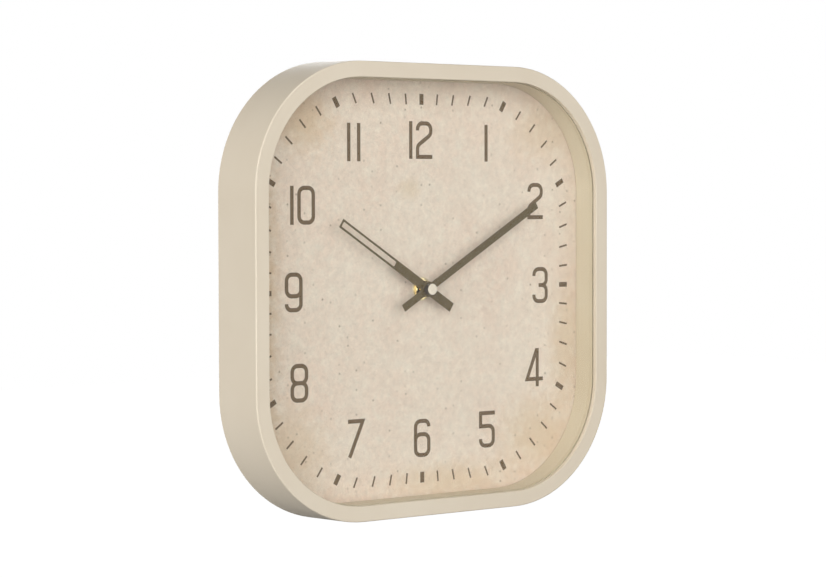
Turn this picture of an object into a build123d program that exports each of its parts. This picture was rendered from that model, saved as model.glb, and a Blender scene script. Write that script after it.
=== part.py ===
from build123d import *
import os
from math import atan, cos, degrees, radians, sin

# Rounded-square battery wall clock with a moulded case, a flat glass, a spacer ring,
# a printed dial board and a quartz movement behind it.
#
# Row frame: +X to the right of someone facing the clock, +Y into the wall, +Z up.
# The origin is where the wall nail bears on the hanger, on the plane of the wall.
# Depths are measured from the wall towards the room.

os.makedirs("parts", exist_ok=True)

# ---- Case ---------------------------------------------------------------------------
case_width = 350.0  # height and width at the wall side
case_depth = 47.0  # wall to front face
case_corner = 99.8  # outline radius at the wall side
case_draft = 1.1  # how far each side draws in towards the front
case_wall = 3.0
front_round = 1.0  # outer edge of the front face
lip_width = 12.1  # flat front border around the glass
lip_thickness = 2.5
lip_round = 0.6  # inner edge of the front face
seat_depth = 3.4  # front face to glass
seat_width = 1.8  # bead that the glass rests on

# ---- Glass, spacer ring and dial board ----------------------------------------------
glass_thickness = 2.0
glass_cover = 2.5  # how far the glass reaches under the lip
dial_recess = 25.2  # front face to dial
dial_thickness = 2.0
ring_step = 0.5  # how far the ring stands inside the lip's opening
ring_wall = 2.0
ring_foot = 2.0  # thickness of the flange that stands on the dial
ring_rebate = 0.5  # shadow line between ring and dial
insert_gap = 0.3  # glass, ring and dial against the locating ribs

# ---- Ribs, bosses, clips and their screws -------------------------------------------
rib_thickness = 1.6
rib_start = 5.0  # wall to the rear end of a rib
rib_places = (-66.0, 0.0, 66.0)  # along each straight side
corner_ribs = 3
boss_radius = 3.3
boss_offset = 45.0  # either side of the middle of each straight side
boss_inset = 6.7  # case outline to boss centre
clip_thickness = 1.0
clip_width = 9.0
clip_reach = 10.3  # boss centre to the clip's inner end
clip_heel = 2.6  # boss centre to the clip's outer end
screw_radius = 1.3
screw_gap = 0.05  # screw in its pilot hole
screw_hole_gap = 0.3  # screw in a clip or plate
screw_depth = 8.0  # thread below the head
screw_head_radius = 2.8
screw_head_height = 1.9
pilot_spare = 1.0  # hole beyond the screw's tip

# ---- Hanger -------------------------------------------------------------------------
hanger_thickness = 1.5
hanger_inset = 2.5  # wall to plate
hanger_width = 58.0
hanger_height = 24.0
hanger_gap = 0.8  # plate against the case wall
hanger_round = 3.0
hanger_screw_offset = 21.0
slot_radius = 2.5
slot_bearing = 7.2  # plate's top edge to where the nail bears
entry_radius = 4.5
entry_drop = 9.3  # nail's bearing point to the centre of the entry hole

# ---- Movement case and battery ------------------------------------------------------
movement_width = 56.0
movement_top = 27.5  # dial axis to the top of the case
movement_bottom = 28.5  # dial axis to the bottom of the case
movement_corner = 3.0
movement_wall = 1.2
movement_front_wall = 1.4
cushion_thickness = 0.8  # rubber washer between movement and dial
cushion_radius = 10.0
movement_depth = 16.0  # over case and cover
cover_thickness = 1.6
cover_gap = 0.1
cover_round = 0.6
bay_wall = 0.9  # between battery and wheels
bay_floor = 1.0
battery_radius = 7.1
battery_length = 50.5
battery_nub_radius = 2.6
battery_nub = 1.3
battery_crimp = 0.5
battery_gap = 0.2
cradle_thickness = 1.5
cradle_offset = 15.0
contact_thickness = 0.4
contact_width = 10.0
contact_height = 9.0
contact_gap = 0.25  # contacts to battery
contact_tab = 2.4
tab_length = 5.0  # beyond the wall between battery and wheels
positive_bump = 2.4
negative_bump = 4.0
ledge = 0.8  # step that the cover seats on
peg_radius = 1.3
peg_tip = 0.6
peg_stand = 0.6  # tip beyond the piece it holds
boss_stand = 1.2  # bearing bosses on the cover

# ---- Coaxial shafts -----------------------------------------------------------------
running_gap = 0.05
press_gap = 0.02
arbor_radius = 0.5
minute_pipe_radius = 1.5
pipe_flange = 2.4
hour_pipe_radius = 2.6
bush_radius = 4.0
bush_stand = 3.2  # above the dial
bush_flange = 5.0
bush_flange_thickness = 0.5
washer_radius = 9.1
washer_thickness = 0.5
nut_flats = 14.0
nut_thickness = 2.0
hole_gap = 0.15  # bush in dial and washers

# ---- Wheels: tooth counts, and the distances that set their modules ------------------
wheel_thickness = 0.8
pinion_thickness = 1.2
layer_pitch = 1.8
hour_play = 0.3  # hour wheel to the flange of the bush
hub_radius = 1.1
rotor_teeth = 8
fifth_teeth = 40
fifth_leaves = 8
seconds_teeth = 48
seconds_leaves = 8
third_teeth = 60
third_leaves = 8
centre_teeth = 64
minute_leaves = 10
motion_teeth = 30
motion_leaves = 8
hour_teeth = 32
rotor_distance = 8.64
fifth_distance = 12.6
third_distance = 12.24
motion_distance = 9.0
third_direction = 150.0
fifth_direction = 80.0
rotor_direction = -10.0
motion_direction = 0.0
addendum = 0.85  # of the module
dedendum = 1.1  # of the module
tooth_share = 0.42  # of the pitch, at the pitch circle
tip_share = 0.2
root_share = 0.56
post_radius = 0.95
post_boss = 1.7
socket_depth = 1.8
pivot_length = 1.6
shoulder_play = 0.3
hub_play = 0.05
flange_lift = 0.5  # third wheel to the flange of the minute pipe

# ---- Motor --------------------------------------------------------------------------
magnet_radius = 2.8
magnet_core = 1.4
magnet_length = 2.4
magnet_gap = 0.4
stator_drop = 6.7  # front wall to the rear of the stator
stator_thickness = 0.8
stator_shape = (
    (5.0, 6.2),
    (16.4, 6.2),
    (16.4, 14.0),
    (24.0, 17.4),
    (24.0, 23.6),
    (20.3, 23.6),
    (20.3, 17.9),
    (13.0, 15.6),
    (8.4, 15.6),
    (2.2, 17.9),
    (2.2, 23.6),
    (-1.2, 23.6),
    (-1.2, 17.4),
    (5.0, 14.0),
)
core_left = -1.2
core_right = 24.0
core_width = 3.0
core_thickness = 0.8
core_pegs = (0.5, 22.15)
coil_height = 21.8  # dial axis to coil axis
coil_left = 2.5
coil_right = 19.5
coil_radius = 3.2
bobbin_radius = 3.5
bobbin_flange = 0.8
bobbin_tube = 2.2
fit_gap = 0.05
board_left = -25.3
board_right = -3.2
board_bottom = 18.8
board_top = 25.2
board_thickness = 1.0
board_drop = 6.6  # front wall to the rear of the board
board_pegs = ((-23.5, 22.0), (-5.0, 22.0))
chip_place = (-18.0, 22.0)
chip_radius = 2.8
chip_height = 0.9
chip_bevel = 0.6
crystal_place = (-13.0, 22.0)
crystal_radius = 1.0
crystal_length = 6.0

# ---- Setting knob -------------------------------------------------------------------
knob_radius = 5.0
knob_thickness = 1.8
knob_gap = 0.3  # knob to cover
knob_shaft = 1.0
knob_grooves = 12
knob_groove_radius = 0.6
knob_post = 1.9
knob_wall = 1.0  # front wall left in front of the knob's shaft

# ---- Hands and cap ------------------------------------------------------------------
hand_thickness = 0.5
hand_hub_radius = 6.0
hand_tail = 28.5
hour_height = 6.75  # dial to the back of the hour hand
hour_length = 98.1
hour_width = 7.4
hour_rail = 1.5
slot_start = 37.2
hour_angle = -58.0  # clockwise from twelve
minute_height = 8.1
minute_length = 129.1
minute_width = 5.8
minute_angle = 59.8
collet_radius = 4.2
hour_collet_height = 1.9
minute_collet_height = 2.2
cap_radius = 4.3
cap_body_height = 2.4
cap_disc_thickness = 0.6
pipe_in_cap = 1.2
cap_bevel = 0.25

# ---- Levels, as depths from the wall ------------------------------------------------
glass_front = case_depth - seat_depth
glass_back = glass_front - glass_thickness
lip_back = case_depth - lip_thickness
dial_face = case_depth - dial_recess
dial_back = dial_face - dial_thickness
movement_face = dial_back - cushion_thickness
train_front = movement_face - movement_front_wall
cover_back = movement_face - movement_depth
cover_face = cover_back + cover_thickness
hanger_face = hanger_inset + hanger_thickness
hour_back = dial_face + hour_height
minute_back = dial_face + minute_height
minute_front = minute_back + hand_thickness
cap_back = minute_front + minute_collet_height
cap_disc_back = cap_back + cap_body_height
hour_layer = train_front - bush_flange_thickness - hour_play - wheel_thickness
motion_layer = hour_layer - layer_pitch
centre_layer = motion_layer - layer_pitch
third_layer = centre_layer - layer_pitch
seconds_layer = third_layer - layer_pitch
fifth_layer = seconds_layer - layer_pitch
stator_depth = train_front - stator_drop
board_depth = train_front - board_drop
knob_back = cover_back - knob_gap - knob_thickness

# ---- Insets from the case outline ---------------------------------------------------
draft_angle = degrees(atan(case_draft / case_depth))
corner_centre = case_width / 2 - case_corner
opening_inset = case_draft + lip_width
ring_inset = opening_inset + ring_step
insert_inset = opening_inset - glass_cover
rib_inset = insert_inset - insert_gap
rib_root = case_wall / 2 + case_draft
boss_line = case_width / 2 - boss_inset

dial_screw_places = [
    place
    for offset in (-boss_offset, boss_offset)
    for place in (
        (offset, boss_line),
        (boss_line, -offset),
        (-offset, -boss_line),
        (-boss_line, offset),
    )
]
hanger_screw_places = [(-hanger_screw_offset, boss_line), (hanger_screw_offset, boss_line)]

# ---- Hanger places, above the dial axis ---------------------------------------------
hanger_top = case_width / 2 - case_wall - hanger_gap
hang_drop = hanger_top - slot_bearing
entry_height = hang_drop - entry_drop


def facing(depth):
    """Plane parallel to the wall and facing the room, centred on the dial axis."""
    return Plane(origin=(0, -depth, -hang_drop), x_dir=(1, 0, 0), z_dir=(0, -1, 0))


def across(place):
    """Plane facing right; its x is the height above the dial axis and its y the depth."""
    return Plane(origin=(place, 0, -hang_drop), x_dir=(0, 0, 1), z_dir=(1, 0, 0))


def outline(inset):
    """Rounded square that runs parallel to the case's outline at the wall."""
    side = case_width - 2 * inset
    return RectangleRounded(side, side, case_corner - inset)


def polar(distance, direction, centre=(0.0, 0.0)):
    """Point at a distance and a direction, in degrees from the right, from a centre."""
    turn = radians(direction)
    return (centre[0] + distance * cos(turn), centre[1] + distance * sin(turn))


def gear_points(place, teeth, module, phase):
    """Corners of a straight-flanked gear, with one tooth centred on phase."""
    pitch = 360 / teeth
    root = module * (teeth / 2 - dedendum)
    middle = module * teeth / 2
    tip = module * (teeth / 2 + addendum)
    flank = ((-root_share, root), (-tooth_share, middle), (-tip_share, tip))
    back = tuple((-share, radius) for share, radius in reversed(flank))
    return [
        polar(radius, phase + pitch * (number + share / 2), place)
        for number in range(teeth)
        for share, radius in flank + back
    ]


def gear(place, teeth, module, phase, depth, thickness):
    """Adds a toothed disc to the piece being built."""
    with BuildSketch(facing(depth)) as shape:
        with BuildLine():
            Polyline(*gear_points(place, teeth, module, phase), close=True)
        make_face()
    extrude(shape.sketch, amount=thickness)


def disc(place, radius, start, end, mode=Mode.ADD):
    """Adds or cuts a round bar between two depths."""
    with BuildSketch(facing(start)) as shape:
        with Locations(place):
            Circle(radius)
    extrude(shape.sketch, amount=end - start, mode=mode)


def block(left, right, bottom, top, start, end, mode=Mode.ADD):
    """Adds or cuts a box between its edges and two depths."""
    with BuildSketch(facing(start)) as shape:
        with Locations(((left + right) / 2, (bottom + top) / 2)):
            Rectangle(right - left, top - bottom)
    extrude(shape.sketch, amount=end - start, mode=mode)


def bar(place, height, depth, radius, length, mode=Mode.ADD):
    """Adds or cuts a round bar that runs to the right from a place."""
    with BuildSketch(across(place)) as shape:
        with Locations((height, depth)):
            Circle(radius)
    extrude(shape.sketch, amount=length, mode=mode)


def screws(places, seat):
    """Adds screws whose heads bear on a surface at a depth."""
    for place in places:
        disc(place, screw_head_radius, seat - screw_head_height, seat)
        disc(place, screw_radius, seat, seat + screw_depth)


def keep(piece, name):
    """Labels a finished piece and writes it."""
    piece.part.label = name
    export_step(piece.part, f"parts/{name}.step")


# ---- Train geometry -----------------------------------------------------------------
rotor_module = 2 * rotor_distance / (rotor_teeth + fifth_teeth)
fifth_module = 2 * fifth_distance / (fifth_leaves + seconds_teeth)
seconds_module = 2 * third_distance / (seconds_leaves + third_teeth)
third_module = 2 * third_distance / (third_leaves + centre_teeth)
minute_module = 2 * motion_distance / (minute_leaves + motion_teeth)
motion_module = 2 * motion_distance / (motion_leaves + hour_teeth)
axis = (0.0, 0.0)
third_place = polar(third_distance, third_direction)
fifth_place = polar(fifth_distance, fifth_direction)
rotor_place = polar(rotor_distance, rotor_direction, fifth_place)
motion_place = polar(motion_distance, motion_direction)
# The knob's pinion lies two teeth of the motion wheel below the line of centres.
knob_direction = motion_direction - 2 * 360 / motion_teeth
knob_place = polar(motion_distance, knob_direction, motion_place)


def gap_towards(direction, teeth):
    """Phase that puts the middle of a tooth space on a direction."""
    return direction + 180 / teeth


# ---- Case ---------------------------------------------------------------------------
with BuildPart() as frame:
    with BuildSketch(facing(0)):
        outline(0)
    extrude(amount=case_depth, taper=draft_angle)
    fillet(frame.faces().sort_by(Axis.Y)[0].edges(), radius=front_round)
    with BuildSketch(facing(0)):
        outline(case_wall)
    extrude(amount=lip_back, taper=draft_angle, mode=Mode.SUBTRACT)
    with BuildSketch(facing(glass_front)):
        outline(opening_inset - seat_width)
    extrude(amount=lip_back - glass_front)
    with BuildSketch(facing(glass_front)):
        outline(opening_inset)
    extrude(amount=seat_depth, mode=Mode.SUBTRACT)
    front = frame.faces().filter_by(Axis.Y).sort_by(Axis.Y)[0]
    fillet(front.inner_wires()[0].edges(), radius=lip_round)
    with BuildSketch(facing(rib_start)):
        rib_length = rib_inset - rib_root
        rib_line = case_width / 2 - (rib_inset + rib_root) / 2
        with PolarLocations(0, 4):
            with Locations(*[(place, rib_line) for place in rib_places]):
                Rectangle(rib_thickness, rib_length)
            with Locations((corner_centre, corner_centre)):
                with PolarLocations(rib_line - corner_centre, corner_ribs, 22.5, 45, endpoint=True):
                    Rectangle(rib_length, rib_thickness)
    extrude(amount=lip_back - rib_start)
    with BuildSketch(facing(dial_back)):
        with Locations(*dial_screw_places):
            Circle(boss_radius)
    extrude(amount=lip_back - dial_back)
    with BuildSketch(facing(hanger_face)):
        with Locations(*hanger_screw_places):
            Circle(boss_radius)
    extrude(amount=lip_back - hanger_face)
    with BuildSketch(facing(dial_back)):
        with Locations(*dial_screw_places):
            Circle(screw_radius + screw_gap)
    extrude(amount=screw_depth + pilot_spare - clip_thickness, mode=Mode.SUBTRACT)
    with BuildSketch(facing(hanger_face)):
        with Locations(*hanger_screw_places):
            Circle(screw_radius + screw_gap)
    extrude(amount=screw_depth + pilot_spare - hanger_thickness, mode=Mode.SUBTRACT)
keep(frame, "frame")

# ---- Glass, spacer ring and dial ----------------------------------------------------
with BuildPart() as glass:
    with BuildSketch(facing(glass_back)):
        outline(insert_inset)
    extrude(amount=glass_thickness)
keep(glass, "glass")

with BuildPart() as spacer_ring:
    with BuildSketch(facing(dial_face)):
        outline(insert_inset)
    extrude(amount=ring_foot)
    with BuildSketch(facing(dial_face)):
        outline(ring_inset - ring_wall)
    extrude(amount=glass_back - dial_face)
    with BuildSketch(facing(dial_face)):
        outline(ring_inset)
    extrude(amount=glass_back - dial_face, mode=Mode.SUBTRACT)
    with BuildSketch(facing(dial_face)):
        outline(ring_inset - ring_rebate)
    extrude(amount=ring_rebate, mode=Mode.SUBTRACT)
keep(spacer_ring, "spacer_ring")

with BuildPart() as dial:
    with BuildSketch(facing(dial_back)):
        outline(insert_inset)
        Circle(bush_radius + hole_gap, mode=Mode.SUBTRACT)
    extrude(amount=dial_thickness)
keep(dial, "dial")

with BuildPart() as dial_clips:
    with BuildSketch(facing(dial_back - clip_thickness)):
        with PolarLocations(0, 4):
            with Locations((-boss_offset, boss_line), (boss_offset, boss_line)):
                with Locations((0, (clip_heel - clip_reach) / 2)):
                    Rectangle(clip_width, clip_reach + clip_heel)
                Circle(screw_radius + screw_hole_gap, mode=Mode.SUBTRACT)
    extrude(amount=clip_thickness)
keep(dial_clips, "dial_clips")


with BuildPart() as dial_screws:
    screws(dial_screw_places, dial_back - clip_thickness)
keep(dial_screws, "dial_screws")

# ---- Hanger -------------------------------------------------------------------------
with BuildPart() as hanger_plate:
    with BuildSketch(facing(hanger_inset)):
        with Locations((0, hanger_top - hanger_height / 2)):
            RectangleRounded(hanger_width, hanger_height, hanger_round)
        with Locations((0, entry_height)):
            Circle(entry_radius, mode=Mode.SUBTRACT)
        with Locations((0, hang_drop - slot_radius)):
            Circle(slot_radius, mode=Mode.SUBTRACT)
        with Locations((0, (entry_height + hang_drop - slot_radius) / 2)):
            Rectangle(2 * slot_radius, entry_drop - slot_radius, mode=Mode.SUBTRACT)
        with Locations(*hanger_screw_places):
            Circle(screw_radius + screw_hole_gap, mode=Mode.SUBTRACT)
    extrude(amount=hanger_thickness)
keep(hanger_plate, "hanger_plate")

with BuildPart() as hanger_screws:
    screws(hanger_screw_places, hanger_inset)
keep(hanger_screws, "hanger_screws")

# ---- Movement levels and edges ------------------------------------------------------
inner_side = movement_width / 2 - movement_wall
inner_top = movement_top - movement_wall
inner_bottom = movement_wall - movement_bottom
bay_top = inner_bottom + 2 * (battery_gap + battery_radius)
works_bottom = bay_top + bay_wall
battery_height = (inner_bottom + bay_top) / 2
bay_front = movement_face - bay_floor
battery_depth = bay_front - battery_gap - battery_radius
core_depth = stator_depth + stator_thickness
coil_depth = core_depth + core_thickness / 2
magnet_back = stator_depth + (stator_thickness - magnet_length) / 2
magnet_front = magnet_back + magnet_length
pivot_back = cover_face + boss_stand - pivot_length
hub_back = cover_face + boss_stand + shoulder_play
leaf_length = layer_pitch + (pinion_thickness - wheel_thickness) / 2
pipe_flange_back = third_layer + wheel_thickness + flange_lift
knob_front = train_front - knob_wall

with BuildPart() as movement_case:
    with BuildSketch(facing(cover_back)):
        with Locations((0, (movement_top - movement_bottom) / 2)):
            RectangleRounded(movement_width, movement_top + movement_bottom, movement_corner)
    extrude(amount=movement_depth)
    block(-inner_side, inner_side, bay_top, inner_top, cover_back, cover_face, Mode.SUBTRACT)
    block(
        ledge - inner_side,
        inner_side - ledge,
        works_bottom,
        inner_top - ledge,
        cover_face,
        train_front,
        Mode.SUBTRACT,
    )
    block(-inner_side, inner_side, inner_bottom, bay_top, cover_back, bay_front, Mode.SUBTRACT)
    for offset in (-cradle_offset, cradle_offset):
        left = offset - cradle_thickness / 2
        block(left, left + cradle_thickness, inner_bottom, bay_top, battery_depth, bay_front)
    bar(
        -inner_side,
        battery_height,
        battery_depth,
        battery_radius + battery_gap,
        2 * inner_side,
        Mode.SUBTRACT,
    )
    for side in (-1, 1):
        near, far = sorted((side * (inner_side - ledge), side * inner_side))
        block(
            near,
            far,
            bay_top,
            works_bottom + tab_length + fit_gap,
            battery_depth - contact_tab / 2 - fit_gap,
            battery_depth + contact_tab / 2 + fit_gap,
            Mode.SUBTRACT,
        )
    disc(axis, bush_radius + press_gap, train_front, movement_face, Mode.SUBTRACT)
    for place, level in (
        (fifth_place, seconds_layer + leaf_length + shoulder_play),
        (third_place, centre_layer + leaf_length),
        (rotor_place, magnet_front + shoulder_play),
    ):
        disc(place, post_boss if place != fifth_place else post_radius, level, train_front)
        disc(place, arbor_radius + running_gap, level, level + socket_depth, Mode.SUBTRACT)
    disc(motion_place, post_radius, centre_layer + wheel_thickness + shoulder_play, train_front)
    disc(knob_place, knob_post, hour_layer - wheel_thickness / 2, train_front)
    disc(
        knob_place,
        knob_shaft + running_gap,
        hour_layer - wheel_thickness / 2,
        knob_front,
        Mode.SUBTRACT,
    )
    for place in board_pegs:
        disc(place, peg_radius, board_depth + board_thickness, train_front)
        disc(place, peg_tip, board_depth - peg_stand, board_depth + board_thickness)
    for offset in core_pegs:
        disc((offset, coil_height), peg_radius, core_depth + core_thickness, train_front)
        disc((offset, coil_height), peg_tip, stator_depth - peg_stand, core_depth + core_thickness)
keep(movement_case, "movement_case")

with BuildPart() as movement_cover:
    block(
        cover_gap - inner_side,
        inner_side - cover_gap,
        bay_top,
        inner_top - cover_gap,
        cover_back,
        cover_face,
    )
    fillet(movement_cover.edges().filter_by(Axis.Y), radius=cover_round)
    for place in (axis, third_place, fifth_place, rotor_place, knob_place):
        disc(place, post_boss, cover_face, cover_face + boss_stand)
    for place in (axis, third_place, fifth_place, rotor_place):
        disc(
            place,
            arbor_radius + running_gap,
            cover_face + boss_stand - socket_depth,
            cover_face + boss_stand,
            Mode.SUBTRACT,
        )
    disc(
        knob_place,
        knob_shaft + running_gap,
        cover_back,
        cover_face + boss_stand,
        Mode.SUBTRACT,
    )
keep(movement_cover, "movement_cover")

# ---- Bush, nut and washers ----------------------------------------------------------
with BuildPart() as centre_bush:
    disc(axis, bush_radius, train_front, dial_face + bush_stand)
    disc(axis, bush_flange, train_front - bush_flange_thickness, train_front)
    disc(
        axis,
        hour_pipe_radius + running_gap,
        train_front - bush_flange_thickness,
        dial_face + bush_stand,
        Mode.SUBTRACT,
    )
keep(centre_bush, "centre_bush")

with BuildPart() as rubber_washer:
    disc(axis, cushion_radius, movement_face, dial_back)
    disc(axis, bush_radius + hole_gap, movement_face, dial_back, Mode.SUBTRACT)
keep(rubber_washer, "rubber_washer")

with BuildPart() as dial_washer:
    disc(axis, washer_radius, dial_face, dial_face + washer_thickness)
    disc(axis, bush_radius + hole_gap, dial_face, dial_face + washer_thickness, Mode.SUBTRACT)
keep(dial_washer, "dial_washer")

with BuildPart() as fixing_nut:
    with BuildSketch(facing(dial_face + washer_thickness)):
        RegularPolygon(nut_flats / 2, 6, major_radius=False)
        Circle(bush_radius + hole_gap, mode=Mode.SUBTRACT)
    extrude(amount=nut_thickness)
keep(fixing_nut, "fixing_nut")

# ---- Circuit board ------------------------------------------------------------------
with BuildPart() as circuit_board:
    block(
        board_left,
        board_right,
        board_bottom,
        board_top,
        board_depth,
        board_depth + board_thickness,
    )
    for place in board_pegs:
        disc(
            place,
            peg_tip + fit_gap,
            board_depth,
            board_depth + board_thickness,
            Mode.SUBTRACT,
        )
keep(circuit_board, "circuit_board")

with BuildPart() as circuit_chip:
    chip_back = board_depth + board_thickness
    disc(chip_place, chip_radius, chip_back, chip_back + chip_height)
    chamfer(circuit_chip.faces().sort_by(Axis.Y)[0].edges(), length=chip_bevel)
keep(circuit_chip, "circuit_chip")

with BuildPart() as crystal:
    bar(
        crystal_place[0],
        crystal_place[1],
        board_depth + board_thickness + crystal_radius,
        crystal_radius,
        crystal_length,
    )
keep(crystal, "crystal")

# ---- Motor --------------------------------------------------------------------------
with BuildPart() as stator:
    with BuildSketch(facing(stator_depth)):
        with BuildLine():
            Polyline(*stator_shape, close=True)
        make_face()
        with Locations(rotor_place):
            Circle(magnet_radius + magnet_gap, mode=Mode.SUBTRACT)
        with Locations(*[(offset, coil_height) for offset in core_pegs]):
            Circle(peg_tip + fit_gap, mode=Mode.SUBTRACT)
    extrude(amount=stator_thickness)
keep(stator, "stator")

with BuildPart() as coil_core:
    block(
        core_left,
        core_right,
        coil_height - core_width / 2,
        coil_height + core_width / 2,
        core_depth,
        core_depth + core_thickness,
    )
    for offset in core_pegs:
        disc(
            (offset, coil_height),
            peg_tip + fit_gap,
            core_depth,
            core_depth + core_thickness,
            Mode.SUBTRACT,
        )
keep(coil_core, "coil_core")

with BuildPart() as coil_bobbin:
    bar(coil_left, coil_height, coil_depth, bobbin_tube, coil_right - coil_left)
    for start in (coil_left, coil_right - bobbin_flange):
        bar(start, coil_height, coil_depth, bobbin_radius, bobbin_flange)
    block(
        coil_left,
        coil_right,
        coil_height - core_width / 2 - fit_gap,
        coil_height + core_width / 2 + fit_gap,
        core_depth - fit_gap,
        core_depth + core_thickness + fit_gap,
        Mode.SUBTRACT,
    )
keep(coil_bobbin, "coil_bobbin")

with BuildPart() as coil_winding:
    winding_left = coil_left + bobbin_flange + fit_gap
    winding_length = coil_right - coil_left - 2 * (bobbin_flange + fit_gap)
    bar(winding_left, coil_height, coil_depth, coil_radius, winding_length)
    bar(
        winding_left,
        coil_height,
        coil_depth,
        bobbin_tube + press_gap,
        winding_length,
        Mode.SUBTRACT,
    )
keep(coil_winding, "coil_winding")

with BuildPart() as rotor_pinion:
    gear(
        rotor_place,
        rotor_teeth,
        rotor_module,
        rotor_direction + 180,
        fifth_layer - (pinion_thickness - wheel_thickness) / 2,
        pinion_thickness,
    )
    disc(rotor_place, arbor_radius, pivot_back, magnet_front + pivot_length)
    disc(rotor_place, hub_radius, fifth_layer, magnet_back)
    disc(rotor_place, magnet_core, magnet_back, magnet_front)
keep(rotor_pinion, "rotor_pinion")

with BuildPart() as rotor_magnet:
    disc(rotor_place, magnet_radius, magnet_back, magnet_front)
    disc(rotor_place, magnet_core + press_gap, magnet_back, magnet_front, Mode.SUBTRACT)
keep(rotor_magnet, "rotor_magnet")

# ---- Going train --------------------------------------------------------------------
with BuildPart() as fifth_wheel:
    gear(
        fifth_place,
        fifth_teeth,
        rotor_module,
        gap_towards(rotor_direction, fifth_teeth),
        fifth_layer,
        wheel_thickness,
    )
    gear(
        fifth_place,
        fifth_leaves,
        fifth_module,
        fifth_direction + 180,
        fifth_layer + wheel_thickness,
        leaf_length,
    )
    disc(fifth_place, hub_radius, hub_back, fifth_layer)
    disc(
        fifth_place,
        arbor_radius,
        pivot_back,
        seconds_layer + leaf_length + pivot_length,
    )
keep(fifth_wheel, "fifth_wheel")

with BuildPart() as seconds_wheel:
    gear(
        axis,
        seconds_teeth,
        fifth_module,
        gap_towards(fifth_direction, seconds_teeth),
        seconds_layer,
        wheel_thickness,
    )
    gear(
        axis,
        seconds_leaves,
        seconds_module,
        third_direction,
        seconds_layer + wheel_thickness,
        leaf_length,
    )
    disc(axis, hub_radius, hub_back, seconds_layer)
    disc(axis, arbor_radius, pivot_back, minute_front)
keep(seconds_wheel, "seconds_wheel")

with BuildPart() as third_wheel:
    gear(
        third_place,
        third_teeth,
        seconds_module,
        gap_towards(third_direction + 180, third_teeth),
        third_layer,
        wheel_thickness,
    )
    gear(
        third_place,
        third_leaves,
        third_module,
        third_direction + 180,
        third_layer + wheel_thickness,
        leaf_length,
    )
    disc(third_place, arbor_radius, pivot_back, centre_layer + leaf_length + pivot_length)
keep(third_wheel, "third_wheel")

with BuildPart() as centre_wheel:
    gear(
        axis,
        centre_teeth,
        third_module,
        gap_towards(third_direction, centre_teeth),
        centre_layer,
        wheel_thickness,
    )
    disc(
        axis,
        minute_pipe_radius + press_gap,
        centre_layer,
        centre_layer + wheel_thickness,
        Mode.SUBTRACT,
    )
keep(centre_wheel, "centre_wheel")

# ---- Motion work and setting knob ---------------------------------------------------
with BuildPart() as minute_pipe:
    disc(axis, minute_pipe_radius, pipe_flange_back, cap_back + pipe_in_cap)
    disc(axis, pipe_flange, pipe_flange_back, centre_layer - hub_play)
    gear(
        axis,
        minute_leaves,
        minute_module,
        gap_towards(motion_direction, minute_leaves),
        centre_layer + wheel_thickness + hub_play,
        leaf_length,
    )
    disc(axis, arbor_radius + running_gap, pipe_flange_back, minute_front + hub_play, Mode.SUBTRACT)
keep(minute_pipe, "minute_pipe")

with BuildPart() as motion_wheel:
    gear(
        motion_place,
        motion_teeth,
        minute_module,
        motion_direction + 180,
        motion_layer,
        wheel_thickness,
    )
    gear(
        motion_place,
        motion_leaves,
        motion_module,
        motion_direction + 180,
        motion_layer + wheel_thickness,
        leaf_length,
    )
    disc(
        motion_place,
        post_radius + running_gap,
        motion_layer,
        motion_layer + wheel_thickness + leaf_length,
        Mode.SUBTRACT,
    )
keep(motion_wheel, "motion_wheel")

with BuildPart() as hour_wheel:
    gear(
        axis,
        hour_teeth,
        motion_module,
        gap_towards(motion_direction, hour_teeth),
        hour_layer,
        wheel_thickness,
    )
    disc(axis, hour_pipe_radius, hour_layer, hour_back + hand_thickness)
    disc(
        axis,
        minute_pipe_radius + running_gap,
        hour_layer,
        hour_back + hand_thickness,
        Mode.SUBTRACT,
    )
keep(hour_wheel, "hour_wheel")

with BuildPart() as setting_knob:
    with BuildSketch(facing(knob_back)):
        with Locations(knob_place):
            Circle(knob_radius)
            with PolarLocations(knob_radius, knob_grooves):
                Circle(knob_groove_radius, mode=Mode.SUBTRACT)
    extrude(amount=knob_thickness)
    disc(knob_place, knob_shaft, knob_back, knob_front - shoulder_play)
keep(setting_knob, "setting_knob")

with BuildPart() as setting_pinion:
    gear(
        knob_place,
        minute_leaves,
        minute_module,
        gap_towards(knob_direction + 180, minute_leaves),
        motion_layer - (pinion_thickness - wheel_thickness) / 2,
        pinion_thickness,
    )
    disc(
        knob_place,
        knob_shaft + press_gap,
        motion_layer - (pinion_thickness - wheel_thickness) / 2,
        motion_layer - (pinion_thickness - wheel_thickness) / 2 + pinion_thickness,
        Mode.SUBTRACT,
    )
keep(setting_pinion, "setting_pinion")

# ---- Battery and contacts -----------------------------------------------------------
with BuildPart() as battery:
    can_length = battery_length - battery_nub
    bar(-battery_length / 2, battery_height, battery_depth, battery_radius, can_length)
    chamfer(battery.edges().filter_by(GeomType.CIRCLE), length=battery_crimp)
    bar(
        can_length - battery_length / 2,
        battery_height,
        battery_depth,
        battery_nub_radius,
        battery_nub,
    )
keep(battery, "battery")


def contact(side, bump_radius):
    """Adds a spring contact at one end of the battery: 1 for the right, -1 for the left."""
    wall = side * inner_side
    inner = side * (inner_side - contact_thickness)
    left, right = sorted((wall, inner))
    block(
        left,
        right,
        battery_height - contact_height / 2,
        battery_height + contact_height / 2,
        battery_depth - contact_width / 2,
        battery_depth + contact_width / 2,
    )
    block(
        left,
        right,
        battery_height,
        works_bottom + tab_length,
        battery_depth - contact_tab / 2,
        battery_depth + contact_tab / 2,
    )
    bump_left = sorted((inner, side * (battery_length / 2 + contact_gap)))[0]
    bump_length = inner_side - contact_thickness - battery_length / 2 - contact_gap
    bar(bump_left, battery_height, battery_depth, bump_radius, bump_length)


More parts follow.
